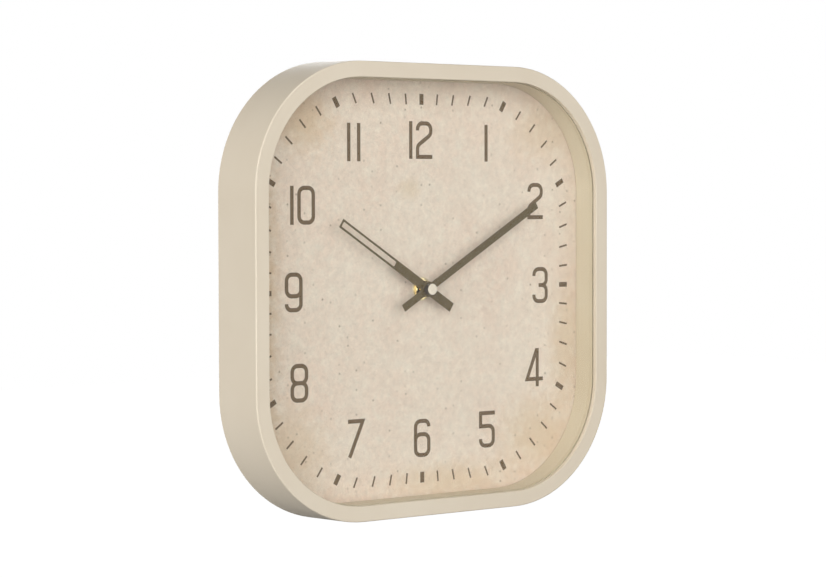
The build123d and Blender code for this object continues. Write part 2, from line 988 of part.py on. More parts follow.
with BuildPart() as contact_positive:
    contact(1, positive_bump)
keep(contact_positive, "contact_positive")

with BuildPart() as contact_negative:
    contact(-1, negative_bump)
keep(contact_negative, "contact_negative")

# ---- Hands and cap ------------------------------------------------------------------
def hand_plane(depth, angle):
    """Plane at a depth whose y runs along a hand, turned clockwise from twelve."""
    turn = radians(angle)
    return Plane(origin=(0, -depth, -hang_drop), x_dir=(cos(turn), 0, -sin(turn)), z_dir=(0, -1, 0))


with BuildPart() as hour_hand:
    with BuildSketch(hand_plane(hour_back, hour_angle)):
        with Locations((0, (hour_length - hand_tail) / 2)):
            Rectangle(hour_width, hour_length + hand_tail)
        Circle(hand_hub_radius)
        with Locations((0, (slot_start + hour_length - hour_rail) / 2)):
            Rectangle(
                hour_width - 2 * hour_rail,
                hour_length - hour_rail - slot_start,
                mode=Mode.SUBTRACT,
            )
        Circle(hour_pipe_radius + press_gap, mode=Mode.SUBTRACT)
    extrude(amount=hand_thickness)
keep(hour_hand, "hour_hand")

with BuildPart() as hour_collet:
    disc(axis, collet_radius, hour_back - hour_collet_height, hour_back)
    disc(
        axis,
        hour_pipe_radius + press_gap,
        hour_back - hour_collet_height,
        hour_back,
        Mode.SUBTRACT,
    )
keep(hour_collet, "hour_collet")

with BuildPart() as minute_hand:
    with BuildSketch(hand_plane(minute_back, minute_angle)):
        with Locations((0, (minute_length - hand_tail) / 2)):
            Rectangle(minute_width, minute_length + hand_tail)
        Circle(hand_hub_radius)
        Circle(minute_pipe_radius + press_gap, mode=Mode.SUBTRACT)
    extrude(amount=hand_thickness)
keep(minute_hand, "minute_hand")

with BuildPart() as minute_collet:
    disc(axis, collet_radius, minute_front, cap_back)
    disc(axis, minute_pipe_radius + press_gap, minute_front, cap_back, Mode.SUBTRACT)
keep(minute_collet, "minute_collet")

with BuildPart() as cap_body:
    disc(axis, cap_radius, cap_back, cap_disc_back)
    disc(
        axis,
        minute_pipe_radius + press_gap,
        cap_back,
        cap_back + pipe_in_cap + fit_gap,
        Mode.SUBTRACT,
    )
keep(cap_body, "cap_body")

with BuildPart() as cap_disc:
    disc(axis, cap_radius, cap_disc_back, cap_disc_back + cap_disc_thickness)
    chamfer(cap_disc.faces().sort_by(Axis.Y)[0].edges(), length=cap_bevel)
keep(cap_disc, "cap_disc")
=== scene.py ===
import json
import logging
import math
from dataclasses import dataclass, field
from enum import Enum
from typing import Any

import bmesh
import bpy
from bpy.types import Material, Mesh, Modifier, Node, NodeSocket, NodeTree, Object
from mathutils import Matrix, Vector


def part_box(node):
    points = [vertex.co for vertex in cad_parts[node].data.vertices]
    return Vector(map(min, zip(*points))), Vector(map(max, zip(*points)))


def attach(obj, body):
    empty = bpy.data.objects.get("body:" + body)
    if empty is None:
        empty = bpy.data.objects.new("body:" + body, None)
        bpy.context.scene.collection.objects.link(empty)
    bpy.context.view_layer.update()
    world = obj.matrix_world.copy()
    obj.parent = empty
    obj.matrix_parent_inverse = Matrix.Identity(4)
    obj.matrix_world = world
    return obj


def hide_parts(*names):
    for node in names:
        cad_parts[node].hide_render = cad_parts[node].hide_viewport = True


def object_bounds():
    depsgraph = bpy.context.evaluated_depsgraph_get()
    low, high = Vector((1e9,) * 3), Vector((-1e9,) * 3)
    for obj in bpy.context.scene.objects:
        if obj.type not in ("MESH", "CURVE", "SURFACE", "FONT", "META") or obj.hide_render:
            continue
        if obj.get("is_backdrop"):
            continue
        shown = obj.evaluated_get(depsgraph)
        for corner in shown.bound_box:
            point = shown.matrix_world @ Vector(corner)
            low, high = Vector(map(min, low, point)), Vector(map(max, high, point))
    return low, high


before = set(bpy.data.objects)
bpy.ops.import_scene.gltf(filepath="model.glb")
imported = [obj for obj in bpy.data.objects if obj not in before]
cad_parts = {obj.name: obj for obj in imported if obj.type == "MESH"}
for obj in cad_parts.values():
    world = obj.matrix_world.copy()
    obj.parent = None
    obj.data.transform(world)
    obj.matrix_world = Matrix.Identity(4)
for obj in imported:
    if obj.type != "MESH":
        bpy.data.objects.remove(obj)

MM = 0.001
WHITE = (1.0, 1.0, 1.0, 1.0)
LOG = logging.getLogger("wall_clock")

Point = tuple[float, float, float]
Tone = str | NodeSocket
Ring = list[bmesh.types.BMVert]


def linear(code: str) -> tuple[float, ...]:
    """Turn an sRGB hex colour into linear RGBA.

    Args:
        code: The colour as a hash and six hex digits.

    Returns:
        Red, green, blue and an alpha of one, in linear light.
    """
    parts = [int(code[place : place + 2], 16) / 255 for place in (1, 3, 5)]
    light = [part / 12.92 if part <= 0.04045 else ((part + 0.055) / 1.055) ** 2.4 for part in parts]
    return (*light, 1.0)


def per_metre(millimetres: float) -> float:
    """Return the texture scale that gives a pattern a size in millimetres."""
    return 1 / (millimetres * MM)


def add_node(
    tree: NodeTree, kind: str, inputs: dict[str | int, Any] | None = None, **settings: Any
) -> Node:
    """Add a node to a tree, with its settings, values and links.

    Args:
        tree: The node tree that takes the node.
        kind: Blender's name for the node's type.
        inputs: Input names or numbers, each with a value or an output socket to link.
        **settings: Properties of the node itself.

    Returns:
        The new node.
    """
    node = tree.nodes.new(kind)
    for name, value in settings.items():
        setattr(node, name, value)
    for key, value in (inputs or {}).items():
        if isinstance(value, NodeSocket):
            tree.links.new(value, node.inputs[key])
        else:
            node.inputs[key].default_value = value
    return node


def either_ray(tree: NodeTree, first: str, second: str) -> NodeSocket:
    """Tell two kinds of ray from the rest.

    Args:
        tree: The tree of a material or the world.
        first: One output of the Light Path node.
        second: Another.

    Returns:
        A socket that is one for rays of either kind, and zero otherwise.
    """
    path = add_node(tree, "ShaderNodeLightPath").outputs
    kinds = {0: path[first], 1: path[second]}
    return add_node(tree, "ShaderNodeMath", kinds, operation="MAXIMUM").outputs[0]


def new_object(name: str, data: bpy.types.ID) -> Object:
    """Put data in the scene as an object at the origin.

    Args:
        name: The object's name.
        data: Its mesh, lamp or camera.

    Returns:
        The object.
    """
    thing = bpy.data.objects.new(name, data)
    bpy.context.scene.collection.objects.link(thing)
    return thing


def finished_object(name: str, shape: bmesh.types.BMesh, finish: Material | None = None) -> Object:
    """Turn a drawn shape into an object whose faces point outward.

    Args:
        name: The object's name.
        shape: The shape, which is used up.
        finish: Its material, if it needs one.

    Returns:
        The object.
    """
    bmesh.ops.recalc_face_normals(shape, faces=shape.faces[:])
    mesh = bpy.data.meshes.new(name)
    shape.to_mesh(mesh)
    shape.free()
    if finish is not None:
        mesh.materials.append(finish)
    return new_object(name, mesh)


def join_rings(shape: bmesh.types.BMesh, one: Ring, two: Ring) -> None:
    """Join two closed rings of vertices with a band of faces.

    Args:
        shape: The shape that holds them.
        one: The first ring.
        two: The second, with as many vertices.
    """
    for corner in range(len(one)):
        beside = (corner + 1) % len(one)
        shape.faces.new((one[corner], one[beside], two[beside], two[corner]))


def applied(thing: Object, modifier: Modifier) -> Mesh:
    """Take a modifier off an object and keep what it made.

    Args:
        thing: The object.
        modifier: Its only modifier.

    Returns:
        The result as a plain mesh.
    """
    thing.update_tag()
    bpy.context.view_layer.update()
    shown = thing.evaluated_get(bpy.context.evaluated_depsgraph_get())
    mesh = bpy.data.meshes.new_from_object(shown)
    thing.modifiers.remove(modifier)
    return mesh


# ---- Finishes -----------------------------------------------------------------------


@dataclass(frozen=True)
class Pattern:
    """Clouded pattern of one size, read between two levels.

    Attributes:
        size: Width of the clouds in millimetres.
        detail: Number of finer layers on them.
        rough: Strength of the finer layers.
        low: Level of the noise at which the pattern starts.
        high: Level at which it is full.
    """

    size: float
    detail: float = 2.0
    rough: float = 0.5
    low: float = 0.3
    high: float = 0.7

    def spread(
        self, tree: NodeTree, place: NodeSocket, least: float, most: float
    ) -> tuple[NodeSocket, NodeSocket]:
        """Add the pattern to a tree.

        Args:
            tree: The material's node tree.
            place: Coordinates in metres.
            least: Value where the pattern starts.
            most: Value where it is full.

        Returns:
            The bare noise, and the pattern between the two values.
        """
        form = {"Vector": place, "Scale": per_metre(self.size)}
        layers = {"Detail": self.detail, "Roughness": self.rough}
        noise = add_node(tree, "ShaderNodeTexNoise", {**form, **layers}).outputs["Fac"]
        levels = {0: noise, 1: self.low, 2: self.high, 3: least, 4: most}
        return noise, add_node(tree, "ShaderNodeMapRange", levels).outputs[0]


def layered(tree: NodeTree, ground: Tone, *layers: tuple[NodeSocket, Tone]) -> NodeSocket:
    """Lay colours over a ground, each by a share of its own.

    Args:
        tree: The material's node tree.
        ground: The lowest colour, as hex or a socket.
        *layers: For each colour above it, how much of it shows, and the colour.

    Returns:
        The colour that is seen.
    """
    for share, colour in layers:
        tones = [linear(tone) if isinstance(tone, str) else tone for tone in (ground, colour)]
        inputs = {0: share, 6: tones[0], 7: tones[1]}
        ground = add_node(tree, "ShaderNodeMix", inputs, data_type="RGBA").outputs[2]
    return ground


def cover(
    shader: Node, colour: NodeSocket, height: NodeSocket, depth: float, strength: float = 1.0
) -> None:
    """Give a shader its pattern of colour and relief.

    Args:
        shader: The Principled node.
        colour: The colour.
        height: The relief, from none to full.
        depth: Full height in millimetres.
        strength: How strongly the relief turns the light.
    """
    tree = shader.id_data
    relief = {"Height": height, "Distance": depth * MM, "Strength": strength}
    bump = add_node(tree, "ShaderNodeBump", relief).outputs["Normal"]
    tree.links.new(colour, shader.inputs["Base Color"])
    tree.links.new(bump, shader.inputs["Normal"])


@dataclass(frozen=True)
class Finish:
    """A finish that makes one material.

    Attributes:
        name: The material's name, for the real material and how it was worked.
        colour: The main colour as sRGB hex.
        roughness: How matt the surface is, from 0 to 1.
    """

    name: str
    colour: str
    roughness: float

    def material(self) -> Material:
        """Find the finish's material, or make it on first use.

        Returns:
            The material.
        """
        made = bpy.data.materials.get(self.name)
        if made is None:
            made = bpy.data.materials.new(self.name)
            made.use_nodes = True
            tree = made.node_tree
            tree.nodes.clear()
            place = add_node(tree, "ShaderNodeTexCoord").outputs["Object"]
            add_node(tree, "ShaderNodeOutputMaterial", {"Surface": self.surface(tree, place)})
        return made

    def surface(self, tree: NodeTree, place: NodeSocket) -> NodeSocket:
        """Build the shader.

        Args:
            tree: The material's node tree.
            place: Object coordinates in metres.

        Returns:
            The shader's output socket.
        """
        plain = {"Base Color": linear(self.colour), "Roughness": self.roughness}
        shader = add_node(tree, "ShaderNodeBsdfPrincipled", plain)
        self.paint(tree, place, shader)
        return shader.outputs["BSDF"]

    def paint(self, tree: NodeTree, place: NodeSocket, shader: Node) -> None:
        """Add the finish's patterns to a plain shader.

        Args:
            tree: The material's node tree.
            place: Object coordinates in metres.
            shader: The Principled node.
        """


@dataclass(frozen=True)
class MouldedPlastic(Finish):
    """Injection-moulded plastic with a spark-eroded grain.

    Attributes:
        drift_colour: The colour that the main one drifts towards in broad clouds.
        grain: Size of the grain in millimetres, drawn coarser than it is so that it shows.
        grain_depth: Height of the grain in millimetres.
        cloud: Size of the clouds in millimetres.
        spread: How far roughness strays to either side.
    """

    drift_colour: str
    grain: float = 0.8
    grain_depth: float = 0.01
    cloud: float = 70.0
    spread: float = 0.05

    def paint(self, tree: NodeTree, place: NodeSocket, shader: Node) -> None:
        """Add clouds of colour, a fine grain and uneven gloss.

        Args:
            tree: The material's node tree.
            place: Object coordinates in metres.
            shader: The Principled node.
        """
        share = Pattern(self.cloud, detail=3.0).spread(tree, place, 0.0, 1.0)[1]
        least, most = self.roughness - self.spread, self.roughness + self.spread
        grain, gloss = Pattern(self.grain).spread(tree, place, least, most)
        tint = layered(tree, self.colour, (share, self.drift_colour))
        tree.links.new(gloss, shader.inputs["Roughness"])
        cover(shader, tint, grain, self.grain_depth, strength=0.6)


@dataclass(frozen=True)
class WorkedMetal(Finish):
    """Bare or plated metal with lines left by the tool.

    Attributes:
        line_colour: The colour in the hollows of the lines.
        stretch: How the lines are drawn out along X, Y and Z.
        line: Spacing of the lines in millimetres, drawn coarser than they are so that they show.
        line_depth: Depth of the lines in millimetres.
        hollow_rough: How much rougher the hollows are.
        crest_smooth: How much smoother the crests are.
    """

    line_colour: str
    stretch: Point = (1.0, 1.0, 1.0)
    line: float = 0.4
    line_depth: float = 0.004
    hollow_rough: float = 0.08
    crest_smooth: float = 0.05

    def paint(self, tree: NodeTree, place: NodeSocket, shader: Node) -> None:
        """Add tool lines to colour, gloss and height.

        Args:
            tree: The material's node tree.
            place: Object coordinates in metres.
            shader: The Principled node.
        """
        drawn = add_node(tree, "ShaderNodeMapping", {"Vector": place, "Scale": self.stretch}).outputs[0]
        hollow, crest = self.roughness + self.hollow_rough, self.roughness - self.crest_smooth
        lines, gloss = Pattern(self.line).spread(tree, drawn, hollow, crest)
        shader.inputs["Metallic"].default_value = 1.0
        tree.links.new(gloss, shader.inputs["Roughness"])
        tint = layered(tree, self.line_colour, (lines, self.colour))
        cover(shader, tint, lines, self.line_depth, strength=0.5)


@dataclass(frozen=True)
class SprayedHand(Finish):
    """Satin paint sprayed on a stamped aluminium hand.

    Attributes:
        fleck_colour: The colour of the coarser drops in the spray.
        fleck: Size of the drops in millimetres, drawn coarser than they are so that they show.
        fleck_depth: Height of the drops in millimetres.
    """

    fleck_colour: str
    fleck: float = 0.5
    fleck_depth: float = 0.008

    def paint(self, tree: NodeTree, place: NodeSocket, shader: Node) -> None:
        """Add the spray's drops to colour and height.

        Args:
            tree: The material's node tree.
            place: Object coordinates in metres.
            shader: The Principled node.
        """
        form = {"Vector": place, "Scale": per_metre(self.fleck), "Detail": 1.0}
        drops = add_node(tree, "ShaderNodeTexNoise", form).outputs["Fac"]
        shader.inputs["Specular IOR Level"].default_value = 0.2
        tint = layered(tree, self.colour, (drops, self.fleck_colour))
        cover(shader, tint, drops, self.fleck_depth, strength=0.4)


@dataclass(frozen=True)
class StainAndShade:
    """A soft tan patch in the dial's colour: most are stains in the print, one is painted shade.

    Attributes:
        across: Its middle, in millimetres right of the dial's centre.
        up: Its middle, in millimetres above the dial's centre.
        wide: Its half-width in millimetres.
        tall: Its half-height in millimetres.
        strength: How much of the patch's colour shows at its middle.
        fray: How far noise moves its edge, as a share of its half-width.
        full: Share of its half-width where it starts to fade.
    """

    across: float
    up: float
    wide: float
    tall: float
    strength: float
    fray: float = 1.1
    full: float = 0.1

    def share(self, tree: NodeTree, local: NodeSocket, ragged: NodeSocket) -> NodeSocket:
        """Measure how much of the patch shows at each place.

        Args:
            tree: The material's node tree.
            local: Coordinates about the dial's centre.
            ragged: Noise that frays the patch's edge.

        Returns:
            The patch's share of the colour.
        """
        squeeze = {
            "Vector": local,
            "Location": (-self.across / self.wide, 0.0, -self.up / self.tall),
            "Scale": (per_metre(self.wide), 0.0, per_metre(self.tall)),
        }
        reach = add_node(tree, "ShaderNodeMapping", squeeze).outputs[0]
        away = add_node(tree, "ShaderNodeVectorMath", {0: reach}, operation="LENGTH").outputs["Value"]
        # The noise lies about a half, so the edge moves out as far as it moves in.
        fray = {0: ragged, 1: self.fray, 2: -self.fray / 2}
        frayed = add_node(tree, "ShaderNodeMath", fray, operation="MULTIPLY_ADD").outputs[0]
        edge = add_node(tree, "ShaderNodeMath", {0: away, 1: frayed}, operation="ADD").outputs[0]
        fade = {0: edge, 1: self.full, 2: 1.0, 3: self.strength, 4: 0.0}
        return add_node(tree, "ShaderNodeMapRange", fade, interpolation_type="SMOOTHSTEP").outputs[0]


@dataclass(frozen=True)
class PrintedDial(Finish):
    """Hardboard dial with a matt print like old plaster on its front.

    Attributes:
        warm_colour: The pinker tone of the plaster's clouds.
        pale_colour: The paler tone of its worn places.
        stain_and_shade_colour: The tan of the stains and of the painted shade.
        speck_colour: The brown of the specks.
        board_colour: The bare board of the back and edges.
        fibre_colour: The paler fibres of the board.
        centre_up: Height of the dial's centre, in metres.
        face: Y of the printed face, in metres.
        stains_and_shade: The soft stains, and the painted shade along the dial's left edge.
        clouds: The broad clouds.
        wear: The worn places.
        wear_most: How much of the pale tone shows where the wear is full.
        mottle: The plaster's fine mottling.
        mottle_depth: How far the mottling strays to lighter and darker.
        grain: The plaster's sand, drawn coarser than it is so that it shows.
        grain_depth: How far the sand strays to lighter and darker.
        fibre: Size of the board's fibres in millimetres, and of the face's faint relief.
        fibre_depth: Height of both in millimetres.
        print_depth: How far round the board's edge the print reaches, in millimetres.
        speck_pitch: Distance between places for a speck, in millimetres.
        speck_core: Radius of a speck's full colour, as a share of the pitch.
        speck_rim: Radius at which it has faded.
        speck_rarity: Share of the places that stay empty.
        speck_faint: How much of its colour the faintest speck shows.
        speck_clear: How much the clearest shows.
    """

    warm_colour: str
    pale_colour: str
    stain_and_shade_colour: str
    speck_colour: str
    board_colour: str
    fibre_colour: str
    centre_up: float
    face: float
    stains_and_shade: tuple[StainAndShade, ...]
    clouds: Pattern = Pattern(55.0, 6.0, 0.62, 0.35, 0.68)
    wear: Pattern = Pattern(9.0, 8.0, 0.7, 0.45, 0.75)
    wear_most: float = 0.75
    mottle: Pattern = Pattern(4.0, 3.0, 0.6)
    mottle_depth: float = 0.06
    grain: Pattern = Pattern(1.6, 1.0)
    grain_depth: float = 0.04
    fibre: float = 1.6
    fibre_depth: float = 0.03
    print_depth: float = 0.1
    speck_pitch: float = 8.0
    speck_core: float = 0.07
    speck_rim: float = 0.14
    speck_rarity: float = 0.86
    speck_faint: float = 0.05
    speck_clear: float = 0.6

    def paint(self, tree: NodeTree, place: NodeSocket, shader: Node) -> None:
        """Add clouds, worn places, stains, painted shade, specks and the bare board.

        Args:
            tree: The material's node tree.
            place: Object coordinates in metres.
            shader: The Principled node.
        """
        middle = {0: place, 1: (0.0, 0.0, -self.centre_up)}
        local = add_node(tree, "ShaderNodeVectorMath", middle, operation="ADD").outputs[0]
        cloudy = self.clouds.spread(tree, local, 0.0, 1.0)[1]
        ragged, worn = self.wear.spread(tree, local, 0.0, self.wear_most)
        ground = layered(tree, self.colour, (cloudy, self.warm_colour), (worn, self.pale_colour))
        shade = self.mottle.spread(tree, local, 1 - self.mottle_depth, 1 + self.mottle_depth)[1]
        fine = self.grain.spread(tree, local, 1 - self.grain_depth, 1 + self.grain_depth)[1]
        value = add_node(tree, "ShaderNodeMath", {0: shade, 1: fine}, operation="MULTIPLY").outputs[0]
        mottled = add_node(tree, "ShaderNodeHueSaturation", {"Value": value, "Color": ground}).outputs[0]
        # Tan patches: real stains in the print, and one band of painted shade, the shadow of the case's left
        # wall.
        spots = [(stain_and_shade.share(tree, local, ragged), self.stain_and_shade_colour) for stain_and_shade in self.stains_and_shade]
        spots.append((self.specks(tree, local), self.speck_colour))
        # The print covers the front face alone, and what lies behind it is bare board.
        depth = add_node(tree, "ShaderNodeSeparateXYZ", {0: place}).outputs["Y"]
        limit = {0: depth, 1: self.face + self.print_depth * MM}
        behind = add_node(tree, "ShaderNodeMath", limit, operation="GREATER_THAN").outputs[0]
        swirl = {"Vector": local, "Scale": per_metre(self.fibre), "Detail": 6.0, "Roughness": 0.7}
        fibre = add_node(tree, "ShaderNodeTexNoise", {**swirl, "Distortion": 1.5}).outputs["Fac"]
        board = layered(tree, self.board_colour, (fibre, self.fibre_colour))
        seen = layered(tree, mottled, *spots, (behind, board))
        cover(shader, seen, fibre, self.fibre_depth, strength=0.35)

    def specks(self, tree: NodeTree, local: NodeSocket) -> NodeSocket:
        """Scatter specks of up to a millimetre.

        Args:
            tree: The material's node tree.
            local: Coordinates about the dial's centre.

        Returns:
            The specks' share of the colour.
        """
        parts = add_node(tree, "ShaderNodeSeparateXYZ", {0: local}).outputs
        flat = add_node(tree, "ShaderNodeCombineXYZ", {"X": parts["X"], "Y": parts["Z"]}).outputs[0]
        pitch = {"Vector": flat, "Scale": per_metre(self.speck_pitch)}
        cells = add_node(tree, "ShaderNodeTexVoronoi", pitch, voronoi_dimensions="2D").outputs
        dot = {0: cells["Distance"], 1: self.speck_core, 2: self.speck_rim, 3: 1.0, 4: 0.0}
        near = add_node(tree, "ShaderNodeMapRange", dot).outputs[0]
        pick = add_node(tree, "ShaderNodeSeparateColor", {0: cells["Color"]}).outputs[0]
        # Each chosen place has a strength of its own, from faint to clear.
        strength = {0: pick, 1: self.speck_rarity, 2: 1.0, 3: self.speck_faint, 4: self.speck_clear}
        few = add_node(tree, "ShaderNodeMapRange", strength).outputs[0]
        return add_node(tree, "ShaderNodeMath", {0: near, 1: few}, operation="MULTIPLY").outputs[0]


@dataclass(frozen=True)
class PrintInk(Finish):
    """Matt screen-printed ink that lets a little of the ground show.

    Attributes:
        thin_colour: The colour where the ink lies thin.
        thickness: The pattern of the ink's thickness.
        thin_most: How much of the thin colour shows at most.
    """

    thin_colour: str
    thickness: Pattern = Pattern(2.5, 5.0, 0.7, 0.45, 0.8)
    thin_most: float = 0.6

    def paint(self, tree: NodeTree, place: NodeSocket, shader: Node) -> None:
        """Add the uneven cover of the ink.

        Args:
            tree: The material's node tree.
            place: Object coordinates in metres.
            shader: The Principled node.
        """
        thin = self.thickness.spread(tree, place, 0.0, self.thin_most)[1]
        tint = layered(tree, self.colour, (thin, self.thin_colour))
        tree.links.new(tint, shader.inputs["Base Color"])


@dataclass(frozen=True)
class FloatGlass(Finish):
    """Clear float glass, which mirrors a little and lets the lamps through.

    Attributes:
        ripple: Distance between the glass's slow waves in millimetres.
        ripple_depth: Height of the waves in millimetres.
        mirror: How much of plain glass's reflection is kept, as a grey.
    """

    ripple: float = 120.0
    ripple_depth: float = 0.02
    mirror: float = 0.3

    def surface(self, tree: NodeTree, place: NodeSocket) -> NodeSocket:
        """Build clear glass that shadow rays and diffuse rays pass straight through.

        Args:
            tree: The material's node tree.
            place: Object coordinates in metres.

        Returns:
            The shader's output socket.
        """
        waves = {"Vector": place, "Scale": per_metre(self.ripple), "Detail": 1.0}
        ripple = add_node(tree, "ShaderNodeTexNoise", waves).outputs["Fac"]
        relief = {"Height": ripple, "Distance": self.ripple_depth * MM, "Strength": 0.3}
        pane = {
            "Base Color": linear(self.colour),
            "Roughness": self.roughness,
            "IOR": 1.5,
            "Specular Tint": (self.mirror, self.mirror, self.mirror, 1.0),
            "Transmission Weight": 1.0,
            "Normal": add_node(tree, "ShaderNodeBump", relief).outputs["Normal"],
        }
        glass = add_node(tree, "ShaderNodeBsdfPrincipled", pane).outputs["BSDF"]
        clear = add_node(tree, "ShaderNodeBsdfTransparent", {"Color": linear(self.colour)}).outputs["BSDF"]
        passing = either_ray(tree, "Is Shadow Ray", "Is Diffuse Ray")
        return add_node(tree, "ShaderNodeMixShader", {0: passing, 1: glass, 2: clear}).outputs[0]


@dataclass(frozen=True)
class PrintedSleeve(Finish):
    """Battery cell: a printed film over a steel can with bare ends.

    Attributes:
        band_colour: The colour of the band at the positive end.
        steel_colour: The bare ends.
        half: Half of the cell's length, in metres.
        shoulder: X where the positive end's steel begins, in metres.
        band_share: Share of the half-length at which the band begins.
        foot: Length of the negative end's bare steel, in millimetres.
    """

    band_colour: str
    steel_colour: str
    half: float
    shoulder: float
    band_share: float = 0.34
    foot: float = 0.7

    def paint(self, tree: NodeTree, place: NodeSocket, shader: Node) -> None:
        """Add the band and the bare steel ends.

        Args:
            tree: The material's node tree.
            place: Object coordinates in metres.
            shader: The Principled node.
        """
        along = add_node(tree, "ShaderNodeSeparateXYZ", {0: place}).outputs["X"]
        band, high, low = (
            add_node(tree, "ShaderNodeMath", {0: along, 1: limit}, operation=test).outputs[0]
            for limit, test in (
                (self.band_share * self.half, "GREATER_THAN"),
                (self.shoulder, "GREATER_THAN"),
                (self.foot * MM - self.half, "LESS_THAN"),
            )
        )
        bare = add_node(tree, "ShaderNodeMath", {0: high, 1: low}, operation="MAXIMUM").outputs[0]
        tint = layered(tree, self.colour, (band, self.band_colour), (bare, self.steel_colour))
        tree.links.new(tint, shader.inputs["Base Color"])
        tree.links.new(bare, shader.inputs["Metallic"])


@dataclass(frozen=True)
class WoundWire(Finish):
    """Enamelled copper wire laid side by side on a bobbin.

    Attributes:
        gap_colour: The colour between the turns.
        turn: Distance between turns in millimetres, drawn far coarser than the wire so that it shows.
        turn_depth: Depth of the gaps in millimetres.
    """

    gap_colour: str
    turn: float = 1.885
    turn_depth: float = 0.05

    def paint(self, tree: NodeTree, place: NodeSocket, shader: Node) -> None:
        """Add the turns of wire.

        Args:
            tree: The material's node tree.
            place: Object coordinates in metres.
            shader: The Principled node.
        """
        # At a scale of one Blender's wave goes through twenty radians to the metre.
        laid = {"Vector": place, "Scale": per_metre(self.turn) * math.tau / 20, "Distortion": 0.6}
        wave = {"wave_type": "BANDS", "bands_direction": "X"}
        turns = add_node(tree, "ShaderNodeTexWave", laid, **wave).outputs["Fac"]
        shader.inputs["Metallic"].default_value = 0.8
        cover(shader, layered(tree, self.gap_colour, (turns, self.colour)), turns, self.turn_depth)


# ---- Geometry node trees ------------------------------------------------------------


class Socket(Enum):
    """Kinds of tree input, each with the type of the values that it takes."""

    COUNT = ("NodeSocketInt", int)
    NUMBER = ("NodeSocketFloat", float)
    OBJECT = ("NodeSocketObject", Object)
    MATERIAL = ("NodeSocketMaterial", Material)

    @classmethod
    def kind(cls, value: Any) -> str:
        """Return Blender's name for the kind of input that takes a value."""
        return next(socket.value[0] for socket in cls if isinstance(value, socket.value[1]))


@dataclass
class CopyTree:
    """Geometry node tree that sets out copies of one shape.

    Attributes:
        name: The tree's name.
        values: A value for each named input.
        tree: The tree itself.
        known: Sockets of the inputs and of the values worked out, by name.
    """

    name: str
    values: dict[str, Any]
    tree: NodeTree = field(init=False)
    known: dict[str, NodeSocket] = field(init=False)

    def __post_init__(self) -> None:
        """Create the tree with its inputs and one geometry output."""
        self.tree = bpy.data.node_groups.new(self.name, "GeometryNodeTree")
        new_socket = self.tree.interface.new_socket
        for name, value in self.values.items():
            new_socket(name=name, in_out="INPUT", socket_type=Socket.kind(value))
        new_socket(name="Geometry", in_out="OUTPUT", socket_type="NodeSocketGeometry")
        sources = add_node(self.tree, "NodeGroupInput").outputs
        self.known = {name: sources[name] for name in self.values}
        self.known["Index"] = add_node(self.tree, "GeometryNodeInputIndex").outputs[0]

    def work_out(self, *steps: tuple[Any, ...]) -> None:
        """Work out values one after another.

        Args:
            *steps: For each value its name, the operation, and the names or numbers it takes.
        """
        for name, operation, *terms in steps:
            inputs = {number: self.known.get(term, term) for number, term in enumerate(terms)}
            result = add_node(self.tree, "ShaderNodeMath", inputs, operation=operation)
            self.known[name] = result.outputs[0]

    def set_out(
        self, shape: NodeSocket, place: NodeSocket, size: NodeSocket | Point = (1.0, 1.0, 1.0)
    ) -> None:
        """End the tree: Count copies, each turned about Y by its turn, as real meshes in Finish.

        Args:
            shape: The shape that is copied.
            place: Where each copy stands.
            size: How each copy is stretched along its X, Y and Z.
        """
        spots = {"Count": self.known["Count"], "Position": place}
        copies = {
            "Points": add_node(self.tree, "GeometryNodePoints", spots).outputs[0],
            "Instance": shape,
            "Rotation": add_node(self.tree, "ShaderNodeCombineXYZ", {"Y": self.known["turn"]}).outputs[0],
            "Scale": size,
        }
        result = add_node(self.tree, "GeometryNodeInstanceOnPoints", copies)
        for kind, more in (
            ("GeometryNodeRealizeInstances", {}),
            ("GeometryNodeSetMaterial", {"Material": self.known["Finish"]}),
            ("NodeGroupOutput", {}),
        ):
            result = add_node(self.tree, kind, {0: result.outputs[0], **more})

    def run(self, name: str) -> Object:
        """Make one plain mesh object with the tree.

        Args:
            name: The new object's name.

        Returns:
            The object, with its place in its mesh.
        """
        holder = new_object("maker", bpy.data.meshes.new("maker"))
        modifier = holder.modifiers.new("Tree", "NODES")
        modifier.node_group = self.tree
        for item in self.tree.interface.items_tree:
            if item.in_out == "INPUT":
                modifier[item.identifier] = self.values[item.name]
        mesh = applied(holder, modifier)
        mesh.name = name
        bpy.data.objects.remove(holder)
        return new_object(name, mesh)


# ---- Sub-assemblies -----------------------------------------------------------------


@dataclass(frozen=True)
class Site:
    """Where the dial is, which every sub-assembly is set out from.

    Attributes:
        centre: The dial's centre across and up, in metres.
        face: Y of the dial's printed face, in metres.
    """

    centre: Vector
    face: float

    @classmethod
    def read(cls) -> "Site":
        """Read the dial's place from its box.

        Returns:
            The place.
        """
        low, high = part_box("dial")
        return cls(Vector(((low[0] + high[0]) / 2, (low[2] + high[2]) / 2)), low[1])


@dataclass
class SubAssembly:
    """Sub-assembly of the clock, which dresses its CAD pieces and may add pieces of its own.

    Attributes:
        site: Where the dial is.
    """

    site: Site

    def finishes(self) -> dict[str, Finish]:
        """Return the finish of each CAD piece, or of several named in one string."""
        return {}

    def nodes(self) -> dict[str, Finish]:
        """Return the finish of each CAD piece by its own name."""
        return {node: finish for names, finish in self.finishes().items() for node in names.split()}

    def dress(self) -> None:
        """Give every CAD piece its finish."""
        for node, finish in self.nodes().items():
            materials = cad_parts[node].data.materials
            materials.clear()
            materials.append(finish.material())
            LOG.info("dressed %s in %s", node, finish.name)

    def fit(self, piece: Object, slot: str, node: str = "") -> None:
        """Set an added piece on the case's body.

        Args:
            piece: The piece.
            slot: Not used.
            node: The CAD piece that it stands for, if any.
        """
        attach(piece, "case")
        if node:
            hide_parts(node)
        LOG.info("added %s%s", piece.name, f" in place of {node}" if node else "")

    def build(self) -> None:
        """Dress the CAD pieces; a sub-assembly with pieces of its own adds them too."""
        self.dress()


